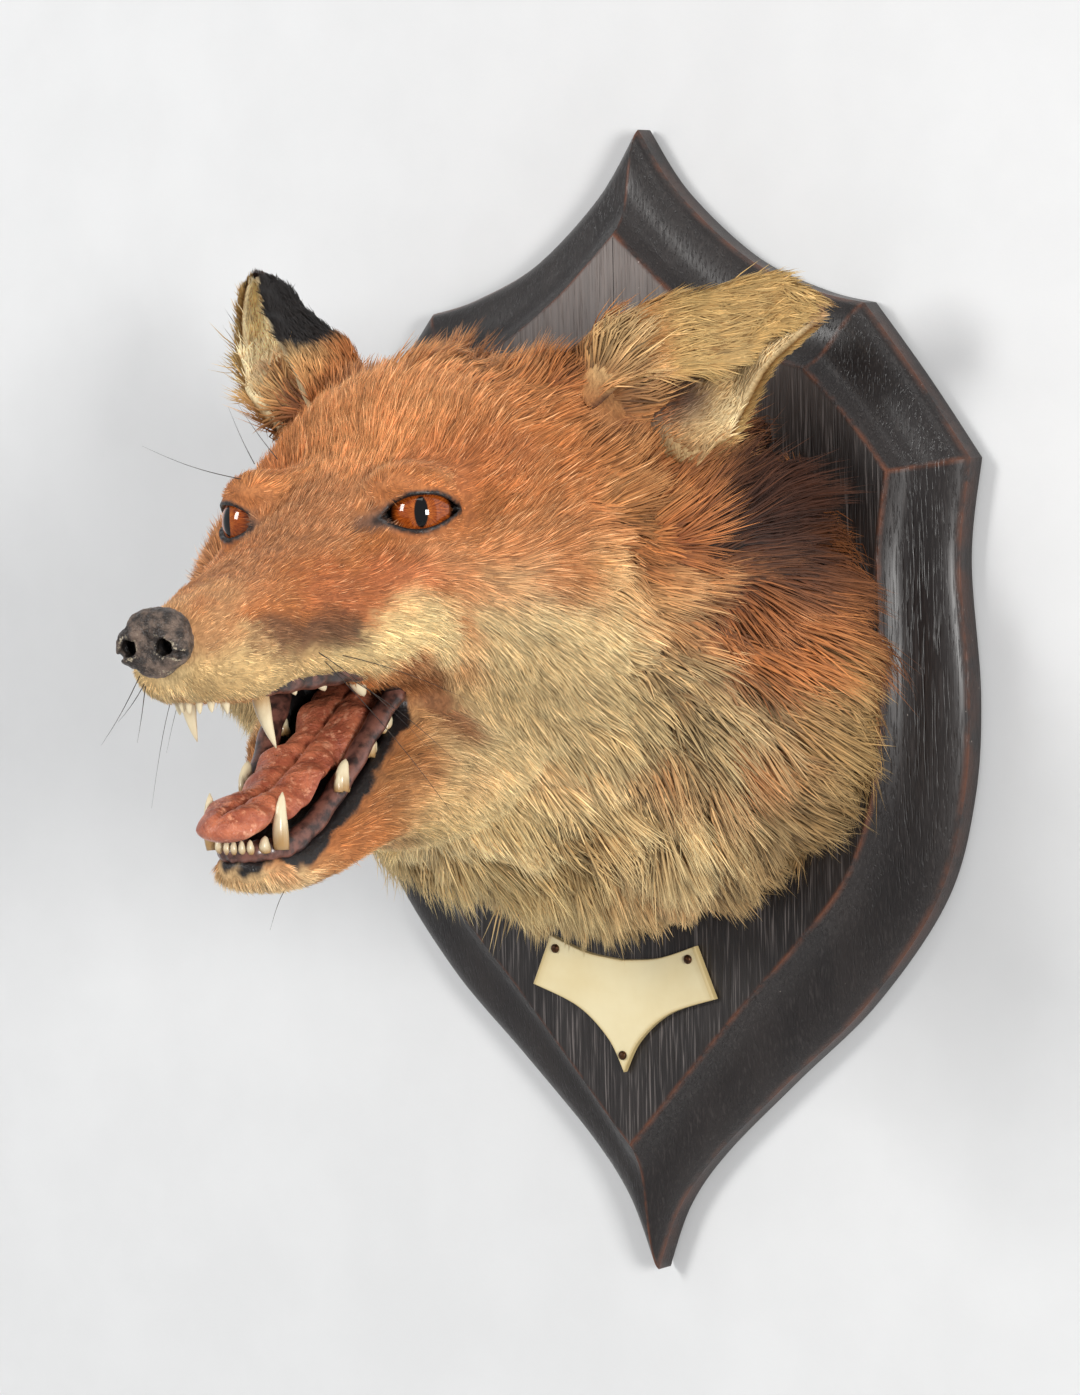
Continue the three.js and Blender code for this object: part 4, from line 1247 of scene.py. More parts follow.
    def off_shield(self, line: Array) -> Array:
        """Centre lines bent away from the shield's face where they would enter it."""
        wall = HEAD.to_wall(line.reshape(-1, 3)).reshape(line.shape)
        places = line.shape[1]
        least = -SHIELD_FACE - 0.6 - self.rng.uniform(0.2, 6, (len(line), 1)) * np.linspace(0.2, 1, places)
        wall[..., 1] = np.minimum(wall[..., 1], least)
        return HEAD.to_head(wall.reshape(-1, 3)).reshape(line.shape)

    def clump(self, line: Array, roots: Roots, lock: Lock) -> tuple[Array, Array]:
        """Draws the tips of neighbouring tufts together into pointed locks.

        Args:
            line: Centre lines.
            roots: Their roots.
            lock: The size of lock they are drawn into.

        Returns:
            The new centre lines, and how far out in its lock each tuft is.
        """
        at = roots.at
        warped = at + Ripple(lock.size * 2.6, lock.seed).vectors(at) * lock.size * 0.6
        cell = np.floor(warped / lock.size).astype(np.int64)
        key = cell @ np.array([73856093, 19349663, 83492791])
        _, group = np.unique(key, return_inverse=True)
        many = np.bincount(group).astype(float)
        middle = lambda v: np.stack([np.bincount(group, v[:, k]) / many for k in range(3)], 1)[group]
        tip = line[:, -1]
        out = np.clip(np.linalg.norm(at - middle(at), axis=1) / (lock.size * 0.62), 0, 1)
        strength = lock.pull * (0.6 + 0.4 * np.sin(group * 12.9898))
        x = np.linspace(0, 1, line.shape[1]) ** 1.5
        settle = 1.0 if lock.splay < 0.3 else lerp(0.2, 1.0, smooth_step(-32, -58, at[:, 1]))
        proud = lock.splay * settle * (0.5 + 0.5 * np.sin(group * 78.233)) * (1 - out**2)
        proud = proud - lock.sink * settle * out**2
        move = (middle(tip) - tip) * strength[:, None] + roots.normal * (proud * roots.height)[:, None]
        return line + move[:, None, :] * x[:, None], out * settle**0.5

    def shape(
        self, roots: Roots, line: Array, normals: Array, wrap: Array, shade: Array | float = 0.0,
    ) -> Shape:
        """Three-sided blades round the centre lines.

        Args:
            roots: Where the tufts start.
            line: Centre lines.
            normals: Skin normals along them.
            wrap: Place of each root on the skin's unwrap.
            shade: How much painted shade darkens each tuft, in the gaps between locks.

        Returns:
            The tufts as one shape in the wall's frame.
        """
        count, places, _ = line.shape
        rings = places - 1
        along = np.gradient(line, axis=1)
        side = unit(np.cross(along, normals))
        up = unit(np.cross(side, along))
        x = np.linspace(0, 1, places)
        width = roots.half[:, None] * np.array([1.0, 0.85])[:rings]
        corners = np.array([[-1, -0.1], [1, -0.1], [0, 0.75]])
        body = (line[:, :rings, None] + side[:, :rings, None] * (corners[:, 0] * width[:, :, None])[..., None]
                + up[:, :rings, None] * (corners[:, 1] * width[:, :, None])[..., None])
        points = np.concatenate([body.reshape(count, rings * 3, 3), line[:, -1:]], 1)
        across = side[:, :rings, None] * corners[:, :1] * 0.9
        own = unit(across + up[:, :rings, None] * (corners[:, 1:] + 0.35))
        soft = unit(own * 0.45 + normals[:, :rings, None] * 0.75)
        soft = np.concatenate([soft.reshape(count, rings * 3, 3), normals[:, -1:]], 1)
        under = unit(-normals[:, :rings] * 0.3 - up[:, :rings])
        under = np.concatenate([np.repeat(under, 3, 1), under[:, -1:]], 1)
        both = HEAD.turn_to_wall(np.concatenate([soft, under], 1))
        each = rings * 3 + 1
        base = (np.arange(count) * each)[:, None, None]
        quads = np.array([[3 * r + k, 3 * r + (k + 1) % 3, 3 * r + 3 + (k + 1) % 3, 3 * r + 3 + k]
                          for r in range(rings - 1) for k in range(3)], int).reshape(-1, 4)
        last = 3 * (rings - 1)
        tips = np.array([[last + k, last + (k + 1) % 3, each - 1] for k in range(3)] + [[2, 1, 0]])
        below = [np.tile([True, False, False], rings - 1), np.array([True, False, False, True])]
        faces, corner_normals = [], []
        for table, low in zip((quads, tips), below):
            faces.append((base + table).reshape(-1, table.shape[1]))
            pick = table + each * low[:, None]
            corner_normals.append(both[:, pick.ravel()].reshape(-1, 3))
        per = np.concatenate([np.repeat(x[:rings], 3), [1.0]])
        lateral = np.concatenate([np.tile([-0.5, 0.5, 0.0], rings), [0.0]])
        uv = wrap[:, None] + BAKE_PATCH * np.stack([lateral, per - 0.5], 1)[None]
        calm = lerp(0.6, 1.0, smooth_step(-70, -30, roots.at[:, 1]))
        # The tone takes off the painted shade of the gaps between locks.
        tone = (self.rng.normal(0, 1, count) + 2.6 * (self.rng.uniform(0, 1, count) < 0.16)) * calm - shade
        return Shape(
            HEAD.to_wall(points.reshape(-1, 3)), faces,
            {
                "tint": np.repeat(roots.tint, each, 0),
                "along": np.tile(per, count),
                "tone": np.repeat(tone, each),
            },
            uv.reshape(-1, 2), np.concatenate(corner_normals))


def unwrap(p: Array) -> Array:
    """Places of skin points on an unwrap round the head's long axis, filling a square.

    Args:
        p: Points in the head's axes.

    Returns:
        Two shares from 0 to 1 per point.
    """
    angle = np.arctan2(p[:, 0], p[:, 2] + 30)
    reach = np.hypot(p[:, 0], p[:, 2] + 30)
    raw = np.stack([angle, p[:, 1] - 0.6 * reach], 1)
    low, high = raw.min(0), raw.max(0)
    return 0.01 + 0.98 * (raw - low) / np.maximum(high - low, 1e-6)


# ---------------------------------------------------------------- finishes


class Graph:
    """Builds the node tree of one material."""

    def __init__(self, name: str) -> None:
        """Starts a material with a bare principled shader."""
        self.material = bpy.data.materials.new(name)
        self.material.use_nodes = True
        self.tree = self.material.node_tree
        self.tree.nodes.clear()
        self.out = self.tree.nodes.new("ShaderNodeOutputMaterial")
        self.shader = self.tree.nodes.new("ShaderNodeBsdfPrincipled")
        self.tree.links.new(self.shader.outputs[0], self.out.inputs["Surface"])

    def feed(self, socket: Socket, value: object) -> None:
        """Links a socket to another, or sets it to a number or colour."""
        if isinstance(value, Socket):
            self.tree.links.new(value, socket)
        elif isinstance(value, (int, float)):
            socket.default_value = value
        else:
            v = tuple(value)
            socket.default_value = v + (1.0,) if len(socket.default_value) == 4 and len(v) == 3 else v

    def node(self, kind: str, inputs: dict | None = None, **settings: object) -> bpy.types.Node:
        """A node with its inputs fed.

        Args:
            kind: The node's type without its prefix.
            inputs: Values or sockets by input name or number.
            settings: The node's own properties.

        Returns:
            The node.
        """
        made = self.tree.nodes.new("ShaderNode" + kind)
        for key, value in settings.items():
            setattr(made, key, value)
        for key, value in (inputs or {}).items():
            self.feed(made.inputs[key], value)
        return made

    def set(self, **values: object) -> None:
        """Feeds the principled shader; underscores stand for blanks in the socket's name."""
        for key, value in values.items():
            self.feed(self.shader.inputs[key.replace("_", " ")], value)

    def value(self, name: str) -> Socket:
        """A number kept on the mesh."""
        return self.node("Attribute", attribute_name=name).outputs["Fac"]

    def vector(self, name: str) -> Socket:
        """A vector or colour kept on the mesh."""
        return self.node("Attribute", attribute_name=name).outputs["Vector"]

    def place(self, stretch: Point = (1, 1, 1)) -> Socket:
        """Object coordinates, stretched."""
        at = self.node("TexCoord").outputs["Object"]
        return self.node("Mapping", {"Vector": at, "Scale": stretch}).outputs[0]

    def math(self, operation: str, a: object, b: object = 0.0, c: object = 0.0) -> Socket:
        """Result of a maths node."""
        return self.node("Math", {0: a, 1: b, 2: c}, operation=operation).outputs[0]

    def length(self, a: Socket, b: Socket) -> Socket:
        """Length of a pair of numbers."""
        return self.math("SQRT", self.math("ADD", self.math("MULTIPLY", a, a), self.math("MULTIPLY", b, b)))

    def noise(
        self, at: object, scale: float, detail: float = 3, rough: float = 0.5, warp: float = 0,
    ) -> Socket:
        """Noise from 0 to 1 at a place."""
        inputs = {"Vector": at, "Scale": scale, "Detail": detail, "Roughness": rough, "Distortion": warp}
        return self.node("TexNoise", inputs).outputs["Fac"]

    def spread(self, x: object, low: float, high: float, to_low: float = 0, to_high: float = 1) -> Socket:
        """A smooth step of x between two values."""
        inputs = {"Value": x, "From Min": low, "From Max": high, "To Min": to_low, "To Max": to_high}
        return self.node("MapRange", inputs, interpolation_type="SMOOTHSTEP").outputs[0]

    def mix(self, share: object, a: object, b: object, blend: str = "MIX") -> Socket:
        """Two colours mixed by a share."""
        made = self.node("Mix", data_type="RGBA", blend_type=blend)
        self.feed(made.inputs[0], share)
        self.feed(made.inputs[6], a)
        self.feed(made.inputs[7], b)
        return made.outputs[2]

    def bump(self, height: object, strength: float, distance: float, under: object = None) -> Socket:
        """A normal raised by a height, on top of another where given."""
        made = self.node("Bump", {"Height": height, "Strength": strength, "Distance": distance})
        if under is not None:
            self.feed(made.inputs["Normal"], under)
        return made.outputs[0]


@dataclass(frozen=True)
class CoatFinish:
    """Fur tufts: their root's marking, darker at the root and paler at the tip; the darker roots are partly
    the coat's own banding and partly painted shade between the tufts.
    """

    name: str = "coat_fur"
    root_shade: Colour = (0.58, 0.44, 0.32)
    tip_shade: Colour = (1.55, 1.74, 1.95)
    guard: Colour = (0.95, 0.68, 0.38)
    roughness: float = 0.6

    def material(self) -> Material:
        """The material."""
        g = Graph(self.name)
        along, tone, tint = g.value("along"), g.value("tone"), g.vector("tint")
        # Darker roots: partly the coat's own banding, partly painted shade between the tufts.
        shade = g.mix(g.spread(along, 0.0, 0.5), self.root_shade, (1.14, 1.14, 1.14))
        shade = g.mix(g.spread(along, 0.55, 1.0), shade, self.tip_shade)
        colour = g.mix(1.0, tint, shade, "MULTIPLY")
        # The tone carries the painted shade of the gaps between locks.
        light = g.math("MULTIPLY_ADD", tone, 0.22, 0.97)
        pale = g.math("MULTIPLY", g.spread(tone, 1.6, 3.4), g.spread(along, 0.3, 0.9))
        red = g.node("SeparateXYZ", {0: tint}).outputs[0]
        pale = g.math("MULTIPLY", pale, g.spread(red, 0.12, 0.4))
        colour = g.mix(g.math("MULTIPLY", pale, 0.42), colour, self.guard)
        uneven = g.noise(g.place(), 260, 2, 0.6)
        light = g.math("MULTIPLY", light, g.spread(uneven, 0.25, 0.75, 0.86, 1.12))
        grey = g.node("CombineColor", {0: light, 1: light, 2: light}).outputs[0]
        colour = g.mix(1.0, colour, grey, "MULTIPLY")
        g.set(Base_Color=colour, Roughness=self.roughness)
        g.set(Specular_IOR_Level=0.32)
        return g.material


@dataclass(frozen=True)
class SkinFinish:
    """The skin: short flat fur as bump, dark lids and lips, and a moist mouth."""

    name: str = "skin_fur"
    lip: Colour = linear(25, 21, 21)
    mucosa: Colour = linear(36, 25, 23)
    lid: Colour = linear(26, 21, 20)

    def material(self) -> Material:
        """The material."""
        g = Graph(self.name)
        tint, mouth, lip, lid = g.vector("tint"), g.value("mouth"), g.value("lip"), g.value("lid")
        at = g.place()
        strand = g.noise(g.place((1500, 260, 700)), 1.0, 3, 0.6, 0.6)
        fine = g.noise(at, 900, 3, 0.6)
        streak = g.mix(g.spread(strand, 0.3, 0.7), (0.62, 0.58, 0.54), (1.02, 1.0, 0.98))
        fur = g.mix(1.0, tint, streak, "MULTIPLY")
        deep = tuple(c * 0.35 for c in self.mucosa)
        wet = g.mix(g.spread(g.noise(at, 130, 4, 0.6), 0.35, 0.65), self.mucosa, deep)
        base = g.mix(mouth, fur, wet)
        base = g.mix(lip, base, self.lip)
        base = g.mix(lid, base, self.lid)
        dark = g.math("MAXIMUM", g.math("MAXIMUM", mouth, lip), lid)
        rough = g.math("MULTIPLY_ADD", dark, -0.43, 0.8)
        wrinkle = g.noise(g.place(), 420, 4, 0.6, 1.4)
        height = g.mix(dark, strand, g.math("MULTIPLY_ADD", wrinkle, 1.0, g.math("MULTIPLY", fine, 0.35)))
        normal = g.bump(height, 0.55, 0.0006)
        g.set(Base_Color=base, Roughness=rough, Normal=normal)
        return g.material


@dataclass(frozen=True)
class EyeFinish:
    """Amber glass eye with a painted iris and an upright slit pupil."""

    name: str = "eye_glass"
    iris: float = 0.93
    pupil: tuple[float, float] = (0.2, 0.46)
    amber: Colour = linear(184, 92, 30)
    deep: Colour = linear(104, 38, 10)
    gold: Colour = linear(200, 116, 48)
    rim: Colour = linear(20, 10, 6)

    def material(self) -> Material:
        """The material."""
        g = Graph(self.name)
        gaze = g.node("SeparateXYZ", {0: g.vector("gaze")})
        a, b, front = gaze.outputs
        r = g.length(a, b)
        turn = g.math("ARCTAN2", b, a)
        polar = {0: g.math("MULTIPLY", turn, 5.0), 1: g.math("MULTIPLY", r, 1.6), 2: 0.0}
        spoke = g.node("CombineXYZ", polar).outputs[0]
        fibre = g.noise(spoke, 3.2, 4, 0.65, 0.4)
        iris = g.mix(g.spread(fibre, 0.3, 0.72), self.deep, self.amber)
        iris = g.mix(g.math("MULTIPLY", g.spread(r, 0.52, 0.2), g.spread(fibre, 0.35, 0.8)), iris, self.gold)
        iris = g.mix(g.spread(r, self.iris - 0.16, self.iris - 0.02), iris, self.rim)
        across = g.math("DIVIDE", a, self.pupil[0])
        tall = g.math("DIVIDE", b, self.pupil[1])
        slit = g.length(across, tall)
        colour = g.mix(g.spread(slit, 1.12, 0.92), iris, (0.002, 0.002, 0.002))
        g.set(Base_Color=colour, Roughness=0.4)
        g.set(Specular_IOR_Level=0.0)
        g.set(Coat_Weight=1.0, Coat_Roughness=0.015)
        g.set(Coat_IOR=1.52)
        return g.material


@dataclass(frozen=True)
class NoseFinish:
    """Dried nose leather: fine cobbles, worn pale flecks on the high spots, and painted shade, near black, in
    the nostrils and slits.
    """

    name: str = "nose_leather"
    dark: Colour = linear(46, 38, 34)
    brown: Colour = linear(122, 103, 90)
    fleck: Colour = linear(178, 164, 140)

    def material(self) -> Material:
        """The material."""
        g = Graph(self.name)
        at = g.place()
        cobble = g.node("TexVoronoi", {"Vector": at, "Scale": 1500.0}, feature="DISTANCE_TO_EDGE").outputs[0]
        worn = g.noise(at, 300, 5, 0.65)
        colour = g.mix(g.spread(worn, 0.4, 0.66), self.dark, self.brown)
        chip = g.math("SUBTRACT", g.noise(at, 620, 5, 0.75, 0.3), g.math("MULTIPLY", g.value("flaky"), -0.13))
        colour = g.mix(g.spread(chip, 0.63, 0.70), colour, self.fleck)
        # Painted shade: the nostrils and slits go near black.
        colour = g.mix(g.value("hollow"), colour, (0.004, 0.003, 0.003))
        normal = g.bump(g.spread(cobble, 0.0, 0.25), 0.5, 0.0003, g.bump(worn, 0.5, 0.0006))
        g.set(Base_Color=colour, Roughness=g.spread(worn, 0.3, 0.7, 0.34, 0.6), Normal=normal)
        return g.material


@dataclass(frozen=True)
class TongueFinish:
    """Painted and varnished terracotta tongue, with painted shade towards its back, deep in the mouth."""

    name: str = "tongue_plaster"
    clay: Colour = linear(206, 120, 86)
    deep: Colour = linear(158, 80, 56)
    pale: Colour = linear(222, 150, 116)

    def material(self) -> Material:
        """The material."""
        g = Graph(self.name)
        at = g.place()
        blotch = g.noise(at, 150, 4, 0.6)
        colour = g.mix(g.spread(blotch, 0.35, 0.65), self.clay, self.deep)
        colour = g.mix(g.spread(g.noise(at, 420, 4, 0.65), 0.54, 0.66), colour, self.pale)
        # Painted shade: darker towards the back of the tongue, deep in the mouth.
        colour = g.mix(g.spread(g.value("depth"), 0.3, 1.2), colour, self.deep)
        bump = g.node("TexVoronoi", {"Vector": at, "Scale": 900.0}, feature="F1").outputs[0]
        flake = g.spread(g.noise(at, 210, 5, 0.7, 0.5), 0.46, 0.54)
        lumps = g.bump(g.noise(at, 260, 4, 0.6), 0.6, 0.0011, g.bump(flake, 0.4, 0.0006))
        normal = g.bump(bump, 0.35, 0.0004, lumps)
        g.set(Base_Color=colour, Roughness=g.spread(blotch, 0.3, 0.7, 0.26, 0.5), Normal=normal)
        g.set(Coat_Weight=0.1, Coat_Roughness=0.3)
        return g.material


@dataclass(frozen=True)
class ToothFinish:
    """Aged ivory teeth, browner at the root, in mauve gum."""

    name: str = "ivory_teeth"
    ivory: Colour = linear(232, 216, 180)
    root: Colour = linear(176, 138, 88)
    gum: Colour = linear(124, 80, 68)
    gum_dark: Colour = linear(44, 30, 28)

    def material(self) -> Material:
        """The material."""
        g = Graph(self.name)
        at = g.place()
        rise, gum = g.value("rise"), g.value("gum")
        stain = g.noise(g.place((1, 1, 0.35)), 500, 4, 0.6)
        stained = g.math("ADD", rise, g.math("MULTIPLY", stain, 0.4))
        tooth = g.mix(g.spread(stained, 0.25, 0.8), self.root, self.ivory)
        flesh = g.mix(g.spread(g.noise(at, 240, 4, 0.6), 0.35, 0.62), self.gum, self.gum_dark)
        g.set(Base_Color=g.mix(gum, tooth, flesh), Roughness=g.math("MULTIPLY_ADD", gum, 0.1, 0.28))
        g.set(Normal=g.bump(g.noise(at, 700, 3, 0.6), 0.25, 0.0003))
        g.set(Coat_Weight=0.3, Coat_Roughness=0.12)
        return g.material


@dataclass(frozen=True)
class WhiskerFinish:
    """Stiff dark whiskers, paler where worn."""

    name: str = "whisker_black"
    dark: Colour = linear(24, 20, 19)
    pale: Colour = linear(70, 58, 50)

    def material(self) -> Material:
        """The material."""
        g = Graph(self.name)
        worn = g.noise(g.place(), 400, 2)
        g.set(Base_Color=g.mix(g.spread(worn, 0.4, 0.7), self.dark, self.pale), Roughness=0.4)
        return g.material


@dataclass(frozen=True)
class OakFinish:
    """Ebonised oak: black with open silvery grain, worn reddish at the arrises, and a painted sheen on the
    top of the field.
    """

    name: str = "ebonised_oak"
    black: Colour = linear(30, 25, 24)
    brown: Colour = linear(40, 34, 32)
    silver: Colour = linear(112, 104, 101)
    red: Colour = linear(104, 58, 34)
    pale: Colour = linear(190, 178, 170)
    painted_sheen: Colour = linear(142, 130, 124)

    def material(self) -> Material:
        """The material."""
        g = Graph(self.name)
        at = g.place()
        broad = g.noise(g.place((60, 60, 7)), 1.0, 3, 0.5)
        pores = g.noise(g.place((1900, 1900, 62)), 1.0, 2, 0.55, 0.15)
        pores2 = g.noise(g.place((900, 900, 30)), 1.0, 4, 0.7, 0.3)
        field_share = g.value("field")
        colour = g.mix(g.spread(broad, 0.3, 0.7), self.black, self.brown)
        streak = g.math("MULTIPLY", g.spread(pores, 0.52, 0.68), g.spread(pores2, 0.3, 0.6))
        streak = g.math("MULTIPLY", streak, g.math("MULTIPLY_ADD", field_share, 0.75, 0.16))
        # Painted sheen: the top of the field turns paler grey, a painted reflection of the light from above.
        high = g.spread(g.node("SeparateXYZ", {0: at}).outputs[2], 0.06, 0.12)
        painted_sheen = g.math("MULTIPLY", high, field_share)
        painted_sheen = g.math("MULTIPLY", painted_sheen, g.spread(pores2, 0.2, 0.7, 0.35, 0.8))
        colour = g.mix(painted_sheen, colour, self.painted_sheen)
        colour = g.mix(streak, colour, self.silver)
        wear = g.math("MULTIPLY", g.value("arris"), g.spread(g.noise(at, 90, 5, 0.7), 0.36, 0.6))
        colour = g.mix(wear, colour, self.red)
        speck = g.spread(g.noise(at, 900, 1, 0.4), 0.80, 0.84)
        speck = g.math("MULTIPLY", speck, g.spread(g.noise(at, 30, 2), 0.5, 0.62))
        colour = g.mix(speck, colour, self.pale)
        height = g.math("ADD", g.spread(pores, 0.30, 0.46), g.math("MULTIPLY", pores2, 0.4))
        normal = g.bump(height, 0.42, 0.00045)
        rough = g.math("ADD", g.spread(broad, 0.3, 0.7, 0.34, 0.44), g.math("MULTIPLY", field_share, 0.06))
        g.set(Base_Color=colour, Roughness=rough, Normal=normal)
        g.set(Coat_Weight=0.12, Coat_Roughness=0.3)
        return g.material


@dataclass(frozen=True)
class IvorineFinish:
    """Warm ivory celluloid, a little yellower towards its edge."""

    name: str = "ivorine"
    ivory: Colour = linear(240, 226, 184)
    shade: Colour = linear(230, 212, 164)
    edge: Colour = linear(196, 170, 112)

    def material(self) -> Material:
        """The material."""
        g = Graph(self.name)
        at = g.place()
        cloud = g.noise(at, 45, 4, 0.6)
        colour = g.mix(g.spread(cloud, 0.3, 0.75), self.ivory, self.shade)
        colour = g.mix(g.math("MULTIPLY", g.value("arris"), 0.8), colour, self.edge)
        grain = g.noise(g.place((40, 40, 1200)), 1.0, 3, 0.5)
        rough = g.spread(cloud, 0.3, 0.7, 0.3, 0.42)
        g.set(Base_Color=colour, Roughness=rough, Normal=g.bump(grain, 0.1, 0.0002))
        g.set(Coat_Weight=0.25, Coat_Roughness=0.18)
        return g.material


@dataclass(frozen=True)
class PinFinish:
    """Tarnished brown pin heads."""

    name: str = "pin_brass"

    def material(self) -> Material:
        """The material."""
        g = Graph(self.name)
        tarnish = g.noise(g.place(), 1400, 4, 0.6)
        g.set(Base_Color=g.mix(g.spread(tarnish, 0.35, 0.65), linear(96, 62, 38), linear(52, 36, 28)),
              Roughness=g.spread(tarnish, 0.3, 0.7, 0.3, 0.55), Metallic=0.8)
        return g.material


# ---------------------------------------------------------------- head pieces


@dataclass
class FoxSkin:
    """Meshes the skin with its ears and grows the coat on it."""

    skin: Skin
    markings: Markings
    ears: tuple[Ear, ...] = EARS
    nose_at: Point = NOSE_AT
    nose_size: Point = NOSE_SIZE
    mouth_box: tuple[Point, Point] = ((-34, -24, -86), (34, 72, -33))
    echo: float = 44.0

    def axes(self) -> list[Array]:
        """Grid places of the skin's mesh, closer together on the face."""
        small, large = ((0.8, 1.9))
        return [
            stepped(-100, 112, (-37, 37), small, large),
            stepped(-142, 86, (-26, 78), small, large),
            stepped(-128, 58, (-90, 15), small, large),
        ]

    def head_shape(self) -> tuple[Shape, Array, Array]:
        """The skin without its ears.

        Returns:
            The shape, and its points and outward normals in the head's axes.
        """
        mesher = NetMesher(self.skin.value)
        points, quads = mesher.mesh(self.axes())
        points = mesher.settle(points)
        normals = unit(mesher.slope(points, 0.4))
        return outward(Shape(HEAD.to_wall(points), [quads])), points, normals

    def inside_mouth(self, shape: Shape, p: Array, n: Array) -> Array:
        """Share of each vertex that faces another wall of the open mouth."""
        tree = BVHTree.FromPolygons(shape.points.tolist(), shape.faces[0].tolist())
        low, high = (np.array(v) for v in self.mouth_box)
        wall_normals = HEAD.turn_to_wall(n)
        share = np.zeros(len(p))
        for i in np.flatnonzero(((p > low) & (p < high)).all(1)):
            start = Vector(shape.points[i] + wall_normals[i] * 0.6)
            hit = tree.ray_cast(start, Vector(wall_normals[i]), self.echo)
            share[i] = hit[0] is not None
        return self.smoothed(shape.faces[0], share, 3)

    @staticmethod
    def smoothed(quads: Array, value: Array, rounds: int) -> Array:
        """Values averaged over neighbouring vertices."""
        for _ in range(rounds):
            face = value[quads].mean(1)
            total = np.bincount(quads.ravel(), np.repeat(face, 4), len(value))
            value = total / np.maximum(np.bincount(quads.ravel(), minlength=len(value)), 1)
        return value

    @staticmethod
    def nearest(points: Array, targets: Array) -> Array:
        """Distance from each point to the closest target."""
        tree = KDTree(len(targets))
        for i, t in enumerate(targets):
            tree.insert(Vector(t), i)
        tree.balance()
        return np.array([tree.find(Vector(q))[2] for q in points])

    def lips(self, p: Array, mouth: Array) -> Array:
        """How black each vertex is as part of the lips."""
        low, high = (np.array(v) - np.array((6, 6, 6)) * s for v, s in zip(self.mouth_box, (1, -1)))
        near = np.flatnonzero(((p > low) & (p < high)).all(1))
        inner = near[mouth[near] > 0.5]
        outer = near[mouth[near] <= 0.5]
        out = np.zeros(len(p))
        if not len(inner) or not len(outer):
            return out
        f, u = p[outer, 1], p[outer, 2]
        upper = 0.7 + 2.6 * smooth_step(16, 4, f)
        lower = np.interp(f, [-6, 10, 26, 38, 46, 52], [3.0, 3.4, 4.2, 5.4, 3.0, 1.7])
        width = np.where(jaw_part(p[outer]), lower, upper)
        width = width * (1 + 0.25 * Ripple(6, 31).value(p[outer]))
        out[outer] = smooth_step(width + 0.5, width - 0.5, self.nearest(p[outer], p[inner]))
        out[inner] = smooth_step(6.0, 3.0, self.nearest(p[inner], p[outer]))
        return out

    def from_hollows(self, p: Array) -> Array:
        """Distance from the wall of the nearer ear's hollow, less than 0 inside it."""
        clear = [np.linalg.norm(p - np.array(ear.hollow), axis=1) - ear.reach for ear in self.ears]
        return np.minimum.reduce(clear)

    def lids(self, p: Array) -> Array:
        """How dark each vertex is as part of a lid's rim."""
        q = mirrored(p)
        local = self.skin.socket.local(q)
        edge = self.skin.socket.opening(local)
        return smooth_step(1.35, 0.75, edge) * (local[:, 2] > 0) * (np.linalg.norm(local, axis=1) < 17)

    def ear_shapes(self) -> Shape:
        """Both ears as one shape with their colours."""
        whole = None
        for ear in self.ears:
            shape, marks = ear.shape()
            n = len(shape.points)
            tint = self.markings.ear_colour(marks["rise"], marks["turn"], marks["inner"], ear)
            blend = (smooth_step(0.05, -0.12, marks["rise"]) * (1 - marks["inner"]))[:, None]
            tint = lerp(tint, self.markings.colour(HEAD.to_head(shape.points)), blend)
            shape.values = {"tint": tint, "mouth": np.zeros(n), "lip": np.zeros(n), "lid": np.zeros(n)}
            whole = shape if whole is None else whole.joined(shape)
        return whole

    def build(self) -> list[Piece]:
        """Makes the skin and every coat piece.

        Returns:
            The finished pieces.
        """
        shape, p, n = self.head_shape()
        mouth = self.inside_mouth(shape, p, n)
        lip, lid = self.lips(p, mouth), self.lids(p)
        tint = self.markings.colour(p)
        # The skin in the ears' hollows takes the inner ear colour, darkened further: partly the ear's own
        # skin, partly painted shade in the recess.
        bare_ear_and_shade = smooth_step(2.4, 0.8, self.from_hollows(p))
        tint = lerp(tint, np.array(self.markings.ear_inner) * 0.7, bare_ear_and_shade[:, None])
        shape.values = {"tint": tint, "mouth": mouth, "lip": lip, "lid": lid}
        made = shape.joined(self.ear_shapes()).object("fox_skin")
        finish = SkinFinish().material()
        nodes = ("neck", "head", "muzzle", "lower_jaw", "ear_left", "ear_right")
        pieces = [placed(made, "fur_face", finish, *nodes)]
        bare = np.maximum.reduce([mouth * 2, lip * 1.6, lid * 2.2])
        return pieces + self.grow(shape, p, n, bare)

